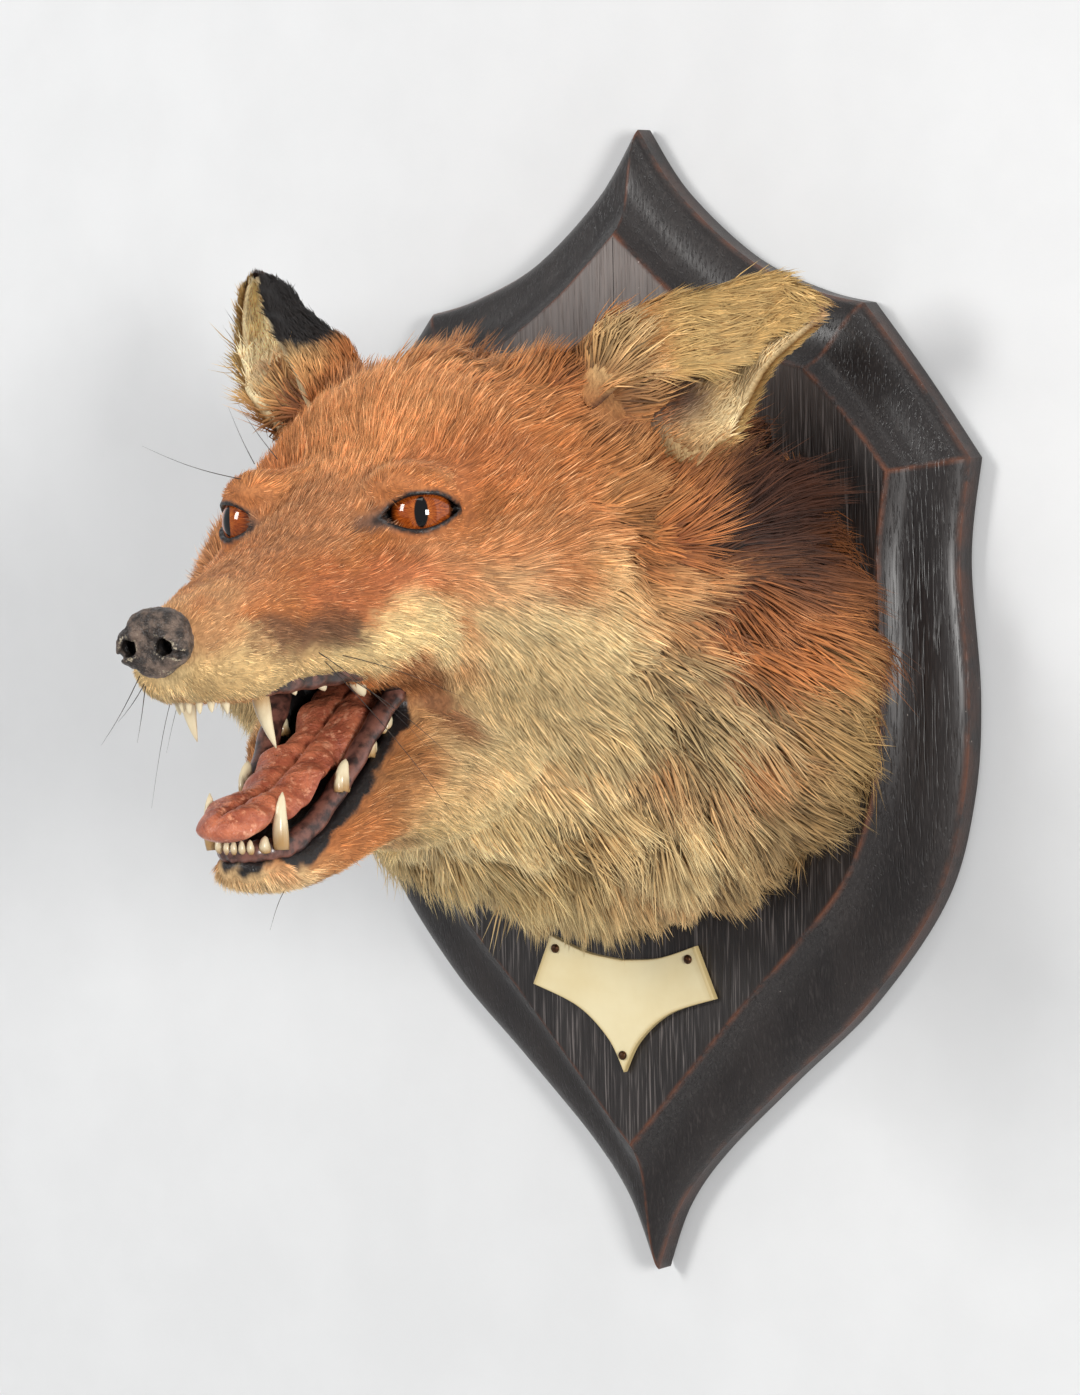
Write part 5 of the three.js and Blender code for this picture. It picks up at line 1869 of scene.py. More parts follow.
    def grow(self, shape: Shape, p: Array, n: Array, bare: Array) -> list[Piece]:
        """Grows every coat piece.

        Args:
            shape: The skin's shape without ears.
            p: Its points in the head's axes.
            n: Its normals there.
            bare: Vertices over 0.5 grow nothing.

        Returns:
            The coat pieces.
        """
        grower = CoatGrower(self.skin, self.markings)
        coat = CoatFinish().material()
        quads = shape.faces[0]
        triangles = np.concatenate([quads[:, [0, 1, 2]], quads[:, [0, 2, 3]]])
        middle = p[triangles].mean(1)
        nose = ellipsoid(middle, self.nose_at, self.nose_size)
        wall = HEAD.to_wall(middle)
        ragged = middle.copy()
        ragged[:, 1] += 4.5 * Ripple(8, 83).value(middle) + 3 * Ripple(2.5, 84).value(middle)
        free = (bare[triangles].max(1) < 0.5) & (nose > 0.3)
        free &= (self.from_hollows(middle) > 2.0) & (wall[:, 1] < -SHIELD_FACE - 2.2)
        pieces = []
        for zone in ZONES:
            mine = free & zone.inside(ragged)
            if zone.side is not Side.BOTH:
                mine &= middle[:, 0] * zone.side.value >= 0
            count = zone.count
            own = triangles[mine]
            pick, share = scatter(p, own, count, grower.rng)
            at = (p[own[pick]] * share[:, :, None]).sum(1)
            normal = unit((n[own[pick]] * share[:, :, None]).sum(1))
            roots = grower.roots(at, normal)
            line, normals = grower.paths(roots, zone.rings)
            shade = 0.0
            for lock in LOCKS[zone.rings]:
                line, out = grower.clump(line, roots, lock)
                # Painted shade in the gaps between locks.
                shade = shade + lock.dark * out**2
            line = grower.off_shield(line)
            made = outward(grower.shape(roots, line, normals, unwrap(at), shade)).object(zone.name)
            pieces.append(placed(made, zone.slot, coat))
        for ear in self.ears:
            pieces.append(self.ear_coat(ear, grower, coat))
        return pieces

    def ear_coat(self, ear: Ear, grower: CoatGrower, coat: Material) -> Piece:
        """Short coat of an ear, longer along its rims.

        Args:
            ear: The ear.
            grower: Grows the tufts.
            coat: Their material.

        Returns:
            The coat piece.
        """
        rng = grower.rng
        count = 11000
        h = rng.uniform(-0.12, 0.97, count)
        a = rng.uniform(-1, 1, count)
        if ear.flap:
            h = np.where(a > 0.55, np.maximum(h, 0.1 * rng.uniform(0, 1, count)), h)
        rimmed = rng.uniform(0, 1, count) < 0.14
        a = np.where(rimmed, np.sign(a) * (1 - 0.06 * rng.uniform(0, 1, count)), a)
        inner = (rng.uniform(0, 1, count) < 0.36) & ~rimmed
        wall = np.where(inner, ear.wall_at(h), 0.0)
        at = ear.point(h, a, wall)
        step = 0.01
        along = unit(ear.leaf(h + step, a) - ear.leaf(h - step, a))
        around = unit(ear.leaf(h, np.minimum(a + step, 1)) - ear.leaf(h, np.maximum(a - step, -1)))
        normal = ear.normal(h, a) * np.where(inner, -1, 1)[:, None]
        lie = along + np.sign(a)[:, None] * around * np.where(rimmed, 0.3, 0.06)[:, None]
        lie = unit(lie + 0.2 * rng.normal(size=(count, 3)))
        lie = unit(lie - normal * (lie * normal).sum(1, keepdims=True))
        length = np.where(rimmed, rng.uniform(3.5, 7, count), rng.uniform(4, 7.5, count))
        length = np.where(inner, rng.uniform(2.5, 5.5, count), length)
        if ear.flap:
            length = np.where((a > 0.2) & ~inner, length * rng.uniform(1.4, 2.2, count), length)
        else:
            length = np.where((a > 0.75) & (h < 0.45), length * rng.uniform(1.2, 2.4, count), length)
        length = length * lerp(1.0, 0.5, smooth_step(0.6, 1.0, h))
        half = rng.uniform(0.14, 0.25, count) * np.where(inner, 0.75, 1.0)
        height = np.where(inner, 0.5, 0.9) * rng.uniform(0.5, 1.6, count)
        tint = self.markings.ear_colour(h, a, inner.astype(float), ear)
        tint = lerp(tint, self.markings.colour(at), smooth_step(0.2, -0.08, h)[:, None])
        roots = Roots(at, normal, lie, length, half, height, tint)
        line = at[:, None] + lie[:, None] * (length[:, None] * np.array([0, 0.5, 1.0]))[:, :, None]
        lift = height[:, None] * np.array([-0.3, 0.8, 1.0])
        line = line + normal[:, None] * lift[:, :, None]
        line, _ = grower.clump(line, roots, EAR_LOCK)
        normals = np.repeat(normal[:, None], 3, 1)
        across = 0.02 + 0.96 * (a + 1) / 2 * 0.48 + np.where(inner, 0.5, 0.0)
        spread = np.stack([across, 0.02 + 0.94 * np.clip(h + 0.1, 0, 1)], 1)
        made = outward(grower.shape(roots, line, normals, spread)).object("coat_" + ear.name)
        return placed(made, "fur_ear", coat)


@dataclass(frozen=True)
class Eyes:
    """The two glass eyes."""

    socket: EyeSocket = field(default_factory=EyeSocket)
    rings: int = 48
    sides: int = 72

    def build(self) -> list[Piece]:
        """Makes both eyes, each in the place of its node."""
        finish = EyeFinish().material()
        made = []
        for name, side in (("eye_left", 1), ("eye_right", -1)):
            theta = np.linspace(0.012, math.pi - 0.012, self.rings)
            phi = np.linspace(0, 2 * math.pi, self.sides, endpoint=False)
            local = np.stack([np.outer(np.sin(theta), np.cos(phi)), np.outer(np.sin(theta), np.sin(phi)),
                              np.outer(np.cos(theta), np.ones(self.sides))], -1)
            flat = np.concatenate([local.reshape(-1, 3), [[0, 0, 1.0]], [[0, 0, -1.0]]])
            p = np.array(self.socket.middle) + flat @ self.socket.axes() * self.socket.radius
            p[:, 0] *= side
            shape = outward(Shape(HEAD.to_wall(p), ring_faces(self.rings, self.sides), {"gaze": flat}))
            made.append(placed(shape.object("glass_" + name), "eye_glass", finish, name))
        return made


@dataclass(frozen=True)
class NosePad:
    """The nose leather with its nostrils and comma slits."""

    at: Point = NOSE_AT
    size: Point = NOSE_SIZE
    body: tuple[Point, Point] = ((0, 76.3, -24.9), (8.3, 6.6, 7.0))
    top: tuple[Point, Point] = ((0, 77.0, -20.9), (6.7, 6.4, 3.5))
    wing: tuple[Point, Point] = ((5.3, 78.6, -26.0), (3.9, 4.7, 4.6))
    chin: tuple[Point, Point] = ((0, 78.2, -29.6), (4.6, 4.8, 3.6))
    brim: tuple[Point, Point, float] = ((2.4, 82.3, -22.8), (7.2, 80.2, -23.6), 1.15)
    face: float = 83.0
    hole: tuple[Point, Point, float] = ((4.9, 85.5, -26.7), (4.7, 78.4, -25.4), 2.05)
    slit: tuple[Point, Point, float] = ((6.2, 83.4, -27.4), (9.8, 78.0, -28.6), 0.85)
    groove: tuple[Point, Point, float] = ((0, 84.2, -23.5), (0, 83.2, -32.0), 0.42)
    philtrum: tuple[Point, Point, float] = ((0, 83.4, -31.0), (0, 79.0, -36.5), 0.75)

    def value(self, p: Array) -> Array:
        """Field of the leather, in the head's axes."""
        q = mirrored(p)
        d = blend_min(ellipsoid(q, *self.body), ellipsoid(q, *self.top), 2.2)
        d = blend_min(d, ellipsoid(q, *self.wing), 1.4)
        d = blend_min(d, ellipsoid(q, *self.chin), 1.6)
        d = blend_max(d, q[:, 1] - self.face + 0.1 * np.abs(q[:, 2] + 25.5), 1.6)
        d = blend_min(d, capsule(q, *self.brim[:2]) - self.brim[2], 1.1)
        for start, end, radius in (self.hole, self.slit, self.groove, self.philtrum):
            d = blend_max(d, -(capsule(q, start, end) - radius), 0.5)
        return d + 0.13 * Ripple(2.2, 41).value(p) + 0.05 * Ripple(0.9, 43).value(p)

    def build(self) -> Piece:
        """Makes the nose in the place of its node."""
        mesher = NetMesher(self.value)
        a, r = np.array(self.at), np.array(self.size) + 1.5
        p, quads = mesher.mesh([np.arange(a[k] - r[k], a[k] + r[k], 0.36) for k in range(3)])
        p = mesher.settle(p, most=0.12)
        q = mirrored(p)
        hole = capsule(q, *self.hole[:2]) - self.hole[2]
        slit = capsule(q, *self.slit[:2]) - self.slit[2]
        # Painted shade mask: near black inside the nostrils and slits.
        hollow = smooth_step(0.35, -0.2, hole - 0.15) * smooth_step(83.3, 80.8, p[:, 1])
        hollow = np.maximum(hollow, 0.8 * smooth_step(0.3, 0.0, slit))
        flaky = smooth_step(1.6, 0.3, np.minimum(hole, slit)) * smooth_step(78.5, 80.5, p[:, 1]) * 0.9
        flaky = np.maximum(flaky, smooth_step(-30.2, -31.8, p[:, 2]) * 0.5)
        shape = outward(Shape(HEAD.to_wall(p), [quads], {"hollow": hollow, "flaky": flaky * (1 - hollow)}))
        return placed(shape.object("nose_pad"), "nose_leather", NoseFinish().material(), "nose")


@dataclass
class Tongue:
    """The wavy modelled tongue with its middle groove."""

    rows: tuple = (
        (-16, -41, 9.5, 6.0), (-4, -46.5, 9.6, 6.4), (10, -54.2, 9.8, 6.4), (20, -59.2, 9.6, 6.2),
        (29, -63.6, 10.6, 6.2), (37, -66.4, 10.4, 6.6), (44, -68.0, 8.3, 7.0), (49, -69.2, 9.6, 7.6),
        (53, -69.8, 8.4, 7.2), (56.2, -70.2, 5.2, 5.2), (57.8, -70.4, 1.4, 2.0),
    )
    rings: int = 120
    sides: int = 64

    def build(self) -> Piece:
        """Makes the tongue in the place of its node."""
        table = StationTable(self.rows)
        f = np.linspace(self.rows[0][0], self.rows[-1][0], self.rings)
        up, half, thick = (np.maximum(v, 0.6) if k else v for k, v in enumerate(table.at(f)))
        a = np.linspace(0, 2 * math.pi, self.sides, endpoint=False)
        side, rise = np.cos(a), np.sin(a)
        fade = smooth_step(57.8, 50, f)
        left = 1.7 * np.sin(f * 0.30 + 0.4) + 0.8 * np.sin(f * 0.77)
        right = 1.9 * np.sin(f * 0.27 + 2.4) + 0.8 * np.sin(f * 0.71 + 1.0)
        wave = np.where(side[None] > 0, left[:, None], right[:, None]) * fade[:, None]
        edge = np.abs(side)[None] ** 2
        s = np.outer(half, side) + 0.35 * wave * np.sign(side)[None] * edge
        u = up[:, None] + np.outer(thick * 0.5, np.sign(rise) * np.abs(rise) ** 1.2) + wave * edge
        swell = np.abs(side) * (1 - side**2) * 2.4 * (rise > 0)
        lobe = swell[None] * (0.9 + 0.4 * np.sin(f * 0.5))[:, None]
        groove = np.exp(-((side / 0.12) ** 2)) * (rise > 0)
        u = u + lobe * fade[:, None] - np.outer((1.5 + 0.4 * np.sin(f * 0.4)) * fade, groove)
        ridge = 0.22 * np.sin(np.outer(f, np.ones_like(a)) * 1.3 + 4 * side[None])
        ridge = ridge * (rise > 0)[None] * (1 - edge)
        rings = np.stack([s, np.broadcast_to(f[:, None], s.shape), u + ridge], -1)
        shape = ring_shape(HEAD.to_wall(rings))
        # Painted shade mask: 1 at the back of the tongue, deep in the mouth.
        depth = np.repeat(smooth_step(14, -14, f), self.sides)
        shape.values = {"depth": np.concatenate([depth, [1.0, 0.0]])}
        return placed(shape.object("tongue_model"), "tongue_plaster", TongueFinish().material(), "tongue")


@dataclass(frozen=True)
class Tooth:
    """One tooth, placed on the fox's left.

    Args:
        root: Middle of its root, in the head's axes.
        tip: Its tip.
        radius: Its radius near the root.
        cusps: Whether it has a lower cusp before and behind.
        blunt: How round its tip is, from 0 to 1.
        sides: Sides it is on: 1 for the fox's left, -1 for its right.
    """

    root: Point
    tip: Point
    radius: float
    cusps: bool = False
    blunt: float = 0.0
    sides: tuple[int, ...] = (1, -1)


UPPER_TEETH = (
    Tooth((1.4, 62.4, -37.5), (1.4, 63.2, -42.6), 1.05, False, 0.7),
    Tooth((3.9, 61.3, -37.5), (3.9, 62.0, -42.4), 1.15, False, 0.7),
    Tooth((6.3, 58.9, -37.5), (6.5, 59.4, -43.0), 1.3, False, 0.5),
    Tooth((9.8, 50.6, -37), (10.2, 45.0, -52.2), 2.2, False, 0.25, (1,)),
    Tooth((10, 50.2, -37), (10.3, 46.7, -50.2), 2.0, False, 0.25, (-1,)),
    Tooth((12.2, 39, -36), (12.4, 38.6, -40.4), 1.5, True, 0.6),
    Tooth((12.9, 28, -35), (13.3, 26.6, -40.3), 2.0, True, 0.6),
    Tooth((14.2, 13, -36), (14.9, 11.2, -42.8), 2.4, True, 0.6),
)
LOWER_TEETH = (
    Tooth((1.1, 47.4, -76.6), (1.1, 48.2, -73.4), 0.95, False, 0.9),
    Tooth((3.2, 47.0, -76.6), (3.2, 47.8, -73.3), 1.0, False, 0.9),
    Tooth((5.9, 45.2, -76.4), (6.3, 46.0, -72.6), 1.45, False, 0.9),
    Tooth((9.3, 43.8, -76), (10.0, 43.1, -62.6), 2.0, False, 0.6),
    Tooth((13.2, 21.4, -64.6), (13.6, 19.4, -57.0), 1.9, True, 0.8),
    Tooth((14.0, 9.6, -57.4), (14.5, 7.4, -50.6), 2.0, True, 0.8),
    Tooth((14.6, 1, -52.5), (14.8, -0.6, -48.0), 1.7, True, 0.8),
)


@dataclass
class Bite:
    """A horseshoe of gum and the teeth that grow from it."""

    name: str
    node: str
    teeth: tuple[Tooth, ...]
    front: float
    back: float
    half: float
    thick: float
    line: Callable[[Array], Array]
    splay: float = 14.0
    curve: float = 0.45
    steps: int = 96
    sides: int = 18

    def gum(self) -> Shape:
        """The gum, scalloped between the teeth."""
        a = np.linspace(-1, 1, self.steps)
        bend = np.abs(a)
        near = bend < self.curve
        front = self.front - self.thick
        forward = np.where(near, front - (bend / self.curve) ** 2 * 9,
                           lerp(front - 9, self.back, (bend - self.curve) / (1 - self.curve)))
        round_front = self.half * np.sin(bend / self.curve * 1.25) / math.sin(1.25)
        side = np.where(near, round_front, self.half + (bend - self.curve) * self.splay)
        to_side = np.sign(a) * np.minimum(bend / self.curve, 1)
        out = unit(np.stack([to_side, np.maximum(1 - bend / self.curve, 0.15), np.zeros_like(a)], 1))
        middle = np.stack([np.sign(a) * side, forward, self.line(forward)], 1)
        t = np.linspace(0, 2 * math.pi, self.sides, endpoint=False)
        r = self.thick * (1 + 0.07 * np.sin(a * 58))[:, None]
        rings = middle[:, None] + out[:, None] * (r * np.cos(t))[..., None]
        rings = rings + np.array([0, 0, 1.0]) * (r * np.sin(t))[..., None]
        shape = ring_shape(HEAD.to_wall(rings))
        shape.values = {"rise": np.zeros(len(shape.points)), "gum": np.ones(len(shape.points))}
        return shape

    def cone(self, root: Array, tip: Array, radius: float, bow: float, blunt: float = 0.0) -> Shape:
        """One curved cusp, rounder at its tip where blunt."""
        axis = unit(tip - root)
        x = unit(np.cross([0, 1.0, 0], axis))
        y = np.cross(axis, x)
        t = np.linspace(0, 1, 12)
        sharp = np.clip(1 - t ** (1.25 + 2.2 * blunt), 0.0, 1) ** lerp(0.85, 0.5, blunt)
        r = radius * np.maximum(sharp, 0.06) * (1 + 0.1 * np.sin(np.pi * np.minimum(t * 1.6, 1)))
        centre = root + t[:, None] * (tip - root) + y * (radius * bow * np.sin(np.pi * t))[:, None]
        shape = tube(centre, x, y, r, 20, 0.86)
        rise = np.concatenate([np.repeat(t, 20), [0.0, 1.0]])
        shape.values = {"rise": rise, "gum": np.zeros(len(shape.points))}
        return shape

    def build(self, finish: Material) -> Piece:
        """Makes the gum and teeth as one piece in the place of their node."""
        whole = self.gum()
        for tooth in self.teeth:
            for side in tooth.sides:
                flip = np.array([side, 1, 1])
                root, tip = np.array(tooth.root, float) * flip, np.array(tooth.tip, float) * flip
                whole = whole.joined(self.cone(root, tip, tooth.radius, 0.4, tooth.blunt))
                for way in (1, -1) if tooth.cusps else ():
                    shift = np.array([0, way * tooth.radius * 1.15, 0])
                    low = lerp(root, tip, 0.66 if way > 0 else 0.56)
                    cusp = self.cone(root + shift * 0.7, low + shift, tooth.radius * 0.66, 0.15, 0.5)
                    whole = whole.joined(cusp)
        return placed(whole.object(self.name), "ivory_teeth", finish, self.node)


@dataclass(frozen=True)
class Whiskers:
    """Long stiff whiskers of the lip, brow, cheek and chin."""

    hairs: tuple[tuple[Point, Point, float], ...] = (
        ((-7, 76, -34), (-14, 81.5, -47.9), 1.5),
        ((-5, 76, -36.5), (-9, 74.2, -48.1), 1),
        ((-6, 76, -35.8), (-10, 80, -42.8), 1),
        ((-23, 2, 11), (-52, -1.8, 20), 2),
        ((-21, -3, 15), (-34, -14.1, 28.5), 1.5),
        ((-19, -10, 16), (-30, -12.4, 28.8), 1),
        ((19, 36, -32.6), (52, 23.3, -81), -5),
        ((19, 28, -36.5), (44, 13.8, -61.9), -4),
        ((18.5, 39, -30), (38, 17.1, -57.9), -4),
        ((5.5, 36, -86), (8, 49, -94.3), -3),
        ((18.6, 33, -31), (42, 4, -46), -3),
        ((-20.4, 35, -33), (-56, -2, -70), -9),
        ((-20, 31, -34), (-48, 2, -56), -6),
    )
    buried: float = 1.5
    thickness: float = 0.13
    places: int = 14

    def build(self) -> Piece:
        """Makes the whiskers as one piece."""
        whole = None
        for start, end, sag in self.hairs:
            a, b = np.array(start, float), np.array(end, float)
            t = np.linspace(0, 1, self.places)
            axis = unit(b - a)
            x = unit(np.cross([0.3, 0.2, 1.0], axis))
            y = np.cross(axis, x)
            root = axis * self.buried
            droop = np.array([0, 0, 1.0]) * (sag * 0.5 * np.sin(np.pi * t))[:, None]
            centre = a - root + t[:, None] * (b - a + root) - droop
            shape = tube(centre, x, y, self.thickness * (1 - 0.85 * t), 6)
            whole = shape if whole is None else whole.joined(shape)
        return placed(whole.object("whiskers"), "nose_leather", WhiskerFinish().material())


# ---------------------------------------------------------------- shield


@dataclass(frozen=True)
class Outline:
    """Right half of a mirrored outline on the wall, as smooth runs between corners."""

    runs: tuple[tuple[tuple[float, float], ...], ...]

    @staticmethod
    def run(points: Sequence[tuple[float, float]], shares: Array) -> Array:
        """Places along one smooth run.

        Args:
            points: What the run passes through.
            shares: Shares of its length, from 0 to 1.

        Returns:
            One place per share.
        """
        table = np.array(points, float)
        last = len(table) - 1
        x = np.linspace(0, last, 40 * last + 1)
        i = np.minimum(x.astype(int), last - 1)
        t = (x - i)[:, None]
        p0, p1 = table[np.maximum(i - 1, 0)], table[i]
        p2, p3 = table[i + 1], table[np.minimum(i + 2, last)]
        m1, m2 = (p2 - p0) / 2, (p3 - p1) / 2
        dense = ((2 * t**3 - 3 * t**2 + 1) * p1 + (t**3 - 2 * t**2 + t) * m1
                 + (3 * t**2 - 2 * t**3) * p2 + (t**3 - t**2) * m2)
        reach = np.concatenate([[0], np.cumsum(np.linalg.norm(np.diff(dense, axis=0), axis=1))])
        want = shares * reach[-1]
        return np.stack([np.interp(want, reach, dense[:, k]) for k in range(2)], 1)

    def loop(self, shares: Sequence[Array]) -> Array:
        """The whole closed outline.

        Args:
            shares: Shares of length for each run, from 0 to 1.

        Returns:
            Places from the top down the right side and up the left.
        """
        parts = [self.run(p, s)[:-1] for p, s in zip(self.runs, shares)]
        right = np.concatenate([*parts, [self.runs[-1][-1]]])
        left = right[1:-1][::-1] * np.array([-1, 1])
        return np.concatenate([right, left])


def corner_mask(shares: Sequence[Array]) -> Array:
    """1 at the corners of a loop made with the same shares."""
    right = np.concatenate([np.eye(1, len(s) - 1)[0] for s in shares] + [[1.0]])
    return np.concatenate([right, right[1:-1][::-1]])


def inset_loop(loop: Array, depth: float) -> Array:
    """A loop moved inwards by a distance."""
    along = np.roll(loop, -1, 0) - np.roll(loop, 1, 0)
    along = along / np.linalg.norm(along, axis=1, keepdims=True)
    inward = np.stack([along[:, 1], -along[:, 0]], 1)
    toward = np.where((inward * (loop.mean(0) - loop)).sum(1).sum() > 0, 1, -1)
    return loop + inward * toward * depth


def stack_shape(rings: Sequence[Array], marks: dict[str, Sequence[Array]]) -> Shape:
    """Closed shape of stacked loops with flat ends.

    Args:
        rings: Loops of points in the wall's frame, first to last.
        marks: Values per loop and point, by name.

    Returns:
        The shape, with each end a single face.
    """
    count = len(rings[0])
    faces = ring_faces(len(rings), count, caps=False)
    faces += [np.arange(count)[None, ::-1], np.arange(count)[None] + (len(rings) - 1) * count]
    shape = Shape(np.concatenate(rings), faces, {k: np.concatenate(v) for k, v in marks.items()})
    return outward(shape)


def on_wall(loop: Array, y: float | Array) -> Array:
    """A loop of the wall's plane at a depth."""
    return np.stack([loop[:, 0], np.broadcast_to(y, len(loop)), loop[:, 1]], 1)


@dataclass(frozen=True)
class Shield:
    """The moulded oak shield, with its field standing forward of the moulding."""

    outer: Outline = Outline((
        ((0, 152.5), (12.6, 135.6), (34.5, 117.9), (56, 108.8), (71, 105.4)),
        ((71, 105.4), (87, 86), (102.4, 65.6)),
        ((102.4, 65.6), (98.9, 40), (101.2, 5), (98.9, -22), (90.2, -48), (68.4, -76), (43, -98.5),
         (20, -119.4), (7.4, -135), (0, -152.5)),
    ))
    inner: Outline = Outline((
        ((0, 125.2), (9.4, 117), (21.6, 107.2), (42, 95), (60, 89)),
        ((60, 89), (72.6, 77), (84.9, 62.8)),
        ((84.9, 62.8), (81.9, 40.2), (82.6, 5), (79, -21), (70.6, -41.6), (55.6, -59), (37, -77.6),
         (17.6, -98.4), (6.5, -110.5), (0, -117.2)),
    ))
    moulding: tuple = (
        (0, -6), (0.06, -7.8), (0.2, -9.5), (0.42, -10.9), (0.62, -11.8), (0.8, -13.3),
        (0.93, -15.7), (1, -17.6),
    )
    counts: tuple[int, int, int] = (56, 26, 130)
    round_off: float = 0.012

    def shares(self) -> list[Array]:
        """Shares of each run, with a place close to each corner."""
        out = []
        for n in self.counts:
            e = self.round_off * 56 / n
            out.append(np.concatenate([[0, e], np.linspace(0, 1, n)[1:-1], [1 - e, 1]]))
            out[-1] = np.unique(out[-1])
        return out

    def outer_loop(self) -> Array:
        """The outer outline as a loop."""
        return self.outer.loop(self.shares())

    def build(self) -> Piece:
        """Makes the shield in the place of its node."""
        shares = self.shares()
        outer, inner, corner = self.outer.loop(shares), self.inner.loop(shares), corner_mask(shares)
        profile = Outline.run(self.moulding, np.linspace(0, 1, 34))
        none = np.zeros(len(outer))
        rings = [on_wall(inset_loop(outer, 0.5), 0), on_wall(outer, -0.5), on_wall(outer, -5.4)]
        arris = [none, none, none + 0.3]
        for share, y in profile:
            rings.append(on_wall(lerp(outer, inner, share), y))
            edge = max(0.0, 1 - share / 0.05) * 0.75 + max(0.0, (share - 0.965) / 0.035) * 0.8
            arris.append(np.maximum(corner * 0.9, edge))
        for depth, y, worn in ((0.16, -17.86, 1.0), (0.5, -18.0, 0.55), (1.1, -18.0, 0.0)):
            rings.append(on_wall(inset_loop(inner, depth), y))
            arris.append(none + worn)
        plain = [none] * (len(rings) - 2) + [none + 0.6, none + 1.0]
        shape = stack_shape(rings, {"arris": arris, "field": plain})
        made = shape.object("shield", sharp=11)
        return placed(made, "ebonised_oak", OakFinish().material(), "shield_board")


@dataclass(frozen=True)
class NamePlate:
    """The bare ivorine plate with its three pins."""

    outline: Outline = Outline((
        ((0, -66.9), (12, -65.6), (24, -61.7)),
        ((24, -61.7), (30.1, -75.3)),
        ((30.1, -75.3), (15, -80.4), (5, -88.4), (0, -97)),
    ))
    back: float = -18.3
    thick: float = 1.8
    bevel: float = 0.35
    middle: tuple[float, float] = (0, -75.5)
    half: float = 12.0
    pins: tuple[tuple[float, float], ...] = ((-22, -65.2), (22, -65.2), (0, -92.4))
    pin_radius: float = 1.25
    pin_height: float = 0.85

    def build(self) -> list[Piece]:
        """Makes the plate and pins in the places of their nodes."""
        shares = [np.linspace(0, 1, n) for n in (24, 14, 36)]
        loop = self.outline.loop(shares)
        front = self.back - self.thick
        none = np.zeros(len(loop))
        rings = [on_wall(loop, self.back), on_wall(loop, front + self.bevel)]
        arris = [none + 1, none + 1]
        middle = np.array(self.middle)
        for k in range(1, 4):
            a = math.pi / 2 * k / 3
            shrink = 1 - self.bevel * (1 - math.cos(a)) / self.half
            rings.append(on_wall(middle + (loop - middle) * shrink, front + self.bevel * (1 - math.sin(a))))
            arris.append(none + 0.8)
        for shrink, share in ((0.96, 0.4), (0.9, 0.0), (0.6, 0.0), (0.3, 0.0), (0.02, 0.0)):
            rings.append(on_wall(middle + (loop - middle) * shrink, front))
            arris.append(none + share)
        plate = stack_shape(rings, {"arris": arris}).object("plate", sharp=40)
        pieces = [placed(plate, "ivorine", IvorineFinish().material(), "name_plate")]
        finish = PinFinish().material()
        q = np.linspace(0, 2 * math.pi, 24, endpoint=False)
        circle = np.stack([np.cos(q), np.sin(q)], 1)
        for number, (x, z) in enumerate(self.pins, 1):
            rings = [on_wall(circle * self.pin_radius * 0.96 + (x, z), front - GAP + 0.25)]
            for t in np.linspace(0, math.pi / 2 * 0.94, 8):
                ring = circle * self.pin_radius * math.cos(t) + (x, z)
                rings.append(on_wall(ring, front - 0.25 - self.pin_height * math.sin(t)))
            dome = stack_shape(rings, {}).object(f"pin_head_{number}", sharp=50)
            pieces.append(placed(dome, "pin_brass", finish, f"plate_pin_{number}"))
        return pieces


# ---------------------------------------------------------------- stage


@dataclass(frozen=True)
class StageFinish:
    """Plain painted surface, seen through from behind where asked."""

    name: str
    paint: Colour
    see_through: bool = False

    def material(self) -> Material:
        """The material."""
        g = Graph(self.name)
        mottle = g.noise(g.place(), 26, 4, 0.55)
        low = tuple(c * 0.965 for c in self.paint)
        g.set(Base_Color=g.mix(g.spread(mottle, 0.3, 0.7), low, self.paint), Roughness=0.9,
              Normal=g.bump(g.noise(g.place(), 900, 3, 0.6), 0.06, 0.0004))
        if self.see_through:
            clear = g.node("BsdfTransparent")
            side = g.node("NewGeometry").outputs["Backfacing"]
            mixed = g.node("MixShader", {0: side, 1: g.shader.outputs[0], 2: clear.outputs[0]})
            g.tree.links.new(mixed.outputs[0], g.out.inputs["Surface"])
        return g.material


@dataclass(frozen=True)
class Lamp:
    """One soft rectangular light, aimed at the head."""

    name: str
    at: Point
    size: tuple[float, float]
    power: float
    colour: Colour = (1, 1, 1)
    aim: Point = (0.02, -0.1, 0.01)

    def build(self) -> None:
        """Adds the light."""
        data = bpy.data.lights.new(self.name, "AREA")
        data.shape = "RECTANGLE"
        data.size, data.size_y = self.size
        data.energy = self.power
        data.color = self.colour
        made = bpy.data.objects.new(self.name, data)
        made.location = self.at
        toward = Vector(self.aim) - Vector(self.at)
        made.rotation_euler = toward.to_track_quat("-Z", "Y").to_euler()
        bpy.context.scene.collection.objects.link(made)


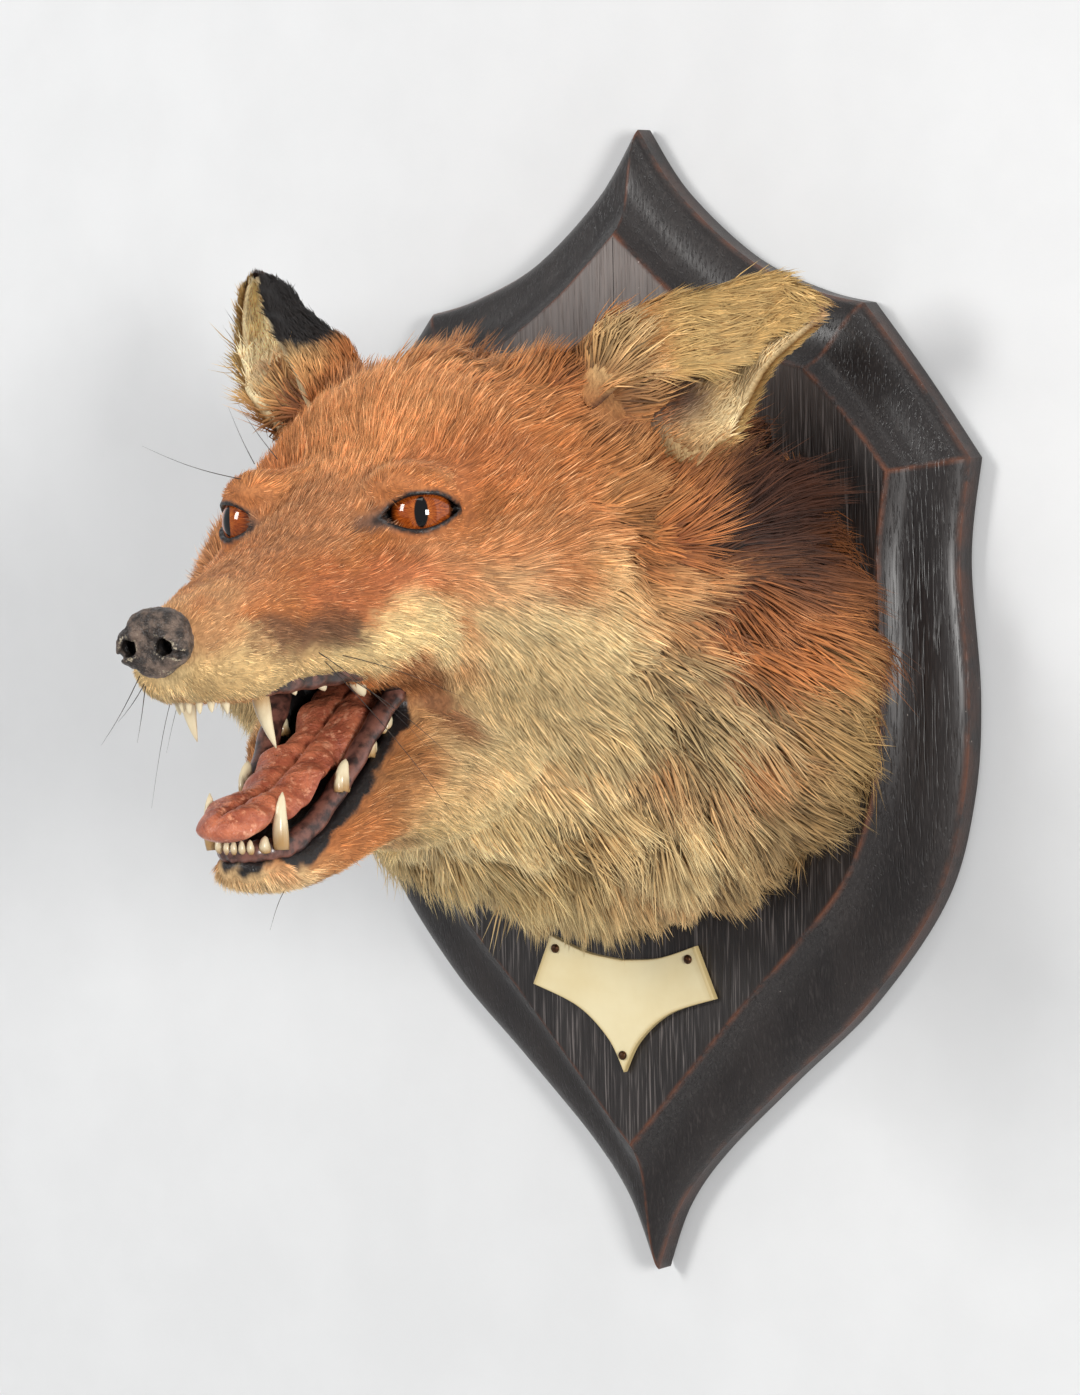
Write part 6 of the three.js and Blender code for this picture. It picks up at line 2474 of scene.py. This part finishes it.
@dataclass(frozen=True)
class Studio:
    """Pale wall and floor, soft lights, world and camera."""

    outline: Array
    wall_gap: float = 0.6
    hole: float = 0.985
    wall_reach: float = 2600.0
    floor_level: float = -1400.0
    azimuth: float = 38.0
    elevation: float = 4.33
    tilt: float = -1.15
    distance: float = 1229.5
    target: Point = (-41.3, 0, 0.3)
    lens: float = 116.03
    world: Colour = (0.80, 0.82, 0.85)
    world_strength: float = 0.45
    lamps: tuple[Lamp, ...] = (
        Lamp("left_window", (-0.80, -1.50, 0.55), (0.40, 0.60), 14, (1.0, 0.99, 0.97)),
        Lamp("right_window", (1.45, -0.92, 0.16), (0.34, 0.46), 19, (1.0, 0.99, 0.97)),
        Lamp("top_strip", (0.45, -1.15, 1.45), (1.1, 0.3), 2.5, (1.0, 0.99, 0.97)),
    )

    def wall(self) -> Piece:
        """The wall, open behind the shield."""
        loop = self.outline * self.hole
        toward = unit(loop - loop.mean(0))
        reach = self.wall_reach / np.maximum(np.abs(toward).max(1), 1e-6)
        far = loop.mean(0) + toward * reach[:, None]
        n = len(loop)
        i = np.arange(n)
        quads = np.stack([i, (i + 1) % n, (i + 1) % n + n, i + n], 1)
        points = np.concatenate([on_wall(loop, self.wall_gap), on_wall(far, self.wall_gap)])
        a, b, c = (points[quads[0, k]] for k in range(3))
        if np.cross(b - a, c - a)[1] > 0:
            quads = quads[:, ::-1]
        made = Shape(points, [quads]).object("wall", smooth=False)
        made.data.materials.append(StageFinish("wall_paint", (0.79, 0.795, 0.80), True).material())
        return made

    def floor(self) -> Piece:
        """The floor."""
        r, z = self.wall_reach, self.floor_level
        points = np.array([(-r, -r, z), (r, -r, z), (r, r, z), (-r, r, z)], float)
        made = Shape(points, [np.array([[0, 1, 2, 3]])]).object("floor", smooth=False)
        made.data.materials.append(StageFinish("floor_paint", (0.78, 0.78, 0.78)).material())
        return made

    def camera(self) -> None:
        """The camera, upright but for a slight tilt."""
        a, e, r = (math.radians(v) for v in (self.azimuth, self.elevation, self.tilt))
        back = Vector((math.sin(a) * math.cos(e), -math.cos(a) * math.cos(e), math.sin(e)))
        right = (-back).cross(Vector((0, 0, 1))).normalized()
        up = right.cross(-back)
        turned = right * math.cos(r) + up * math.sin(r)
        above = up * math.cos(r) - right * math.sin(r)
        data = bpy.data.cameras.new("camera")
        data.lens = self.lens
        data.sensor_width = 36
        data.clip_start, data.clip_end = 0.05, 20
        made = bpy.data.objects.new("camera", data)
        turn = Matrix((turned, above, back)).transposed().to_4x4()
        made.matrix_world = Matrix.Translation((Vector(self.target) + back * self.distance) * MM) @ turn
        bpy.context.scene.collection.objects.link(made)
        bpy.context.scene.camera = made

    def build(self) -> None:
        """Adds the stage, lights, world and camera."""
        for piece in (self.wall(), self.floor()):
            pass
        for lamp in self.lamps:
            lamp.build()
        world = bpy.data.worlds.new("world")
        world.use_nodes = True
        background = world.node_tree.nodes["Background"]
        background.inputs["Color"].default_value = (*self.world, 1)
        background.inputs["Strength"].default_value = self.world_strength
        scene = bpy.context.scene
        scene.world = world
        scene.view_settings.view_transform = "Standard"
        self.camera()


def main() -> None:
    """Builds every piece, in order, and logs each piece's vertex and face counts."""
    logging.basicConfig(level=logging.INFO, format="%(message)s")
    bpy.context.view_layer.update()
    flesh = Flesh()
    skin = Skin(flesh)
    FoxSkin(skin, Markings()).build()
    Eyes().build()
    NosePad().build()
    Tongue().build()
    teeth = ToothFinish().material()
    Bite("upper_bite", "upper_teeth", UPPER_TEETH, 62.5, 8, 10.4, 3.0,
         lambda f: lerp(-35.5, -37.5, np.clip((f - 8) / 60, 0, 1))).build(teeth)
    jaw = StationTable(flesh.jaw_rows)
    Bite("lower_bite", "lower_teeth", LOWER_TEETH, 48.4, -2, 8.4, 2.9,
         lambda f: jaw.at(f)[1] - 1.2 + 1.6 * smooth_step(42, 20, f)).build(teeth)
    Whiskers().build()
    shield = Shield()
    shield.build()
    NamePlate().build()
    Studio(shield.outer_loop()).build()


if __name__ == "__main__":
    main()
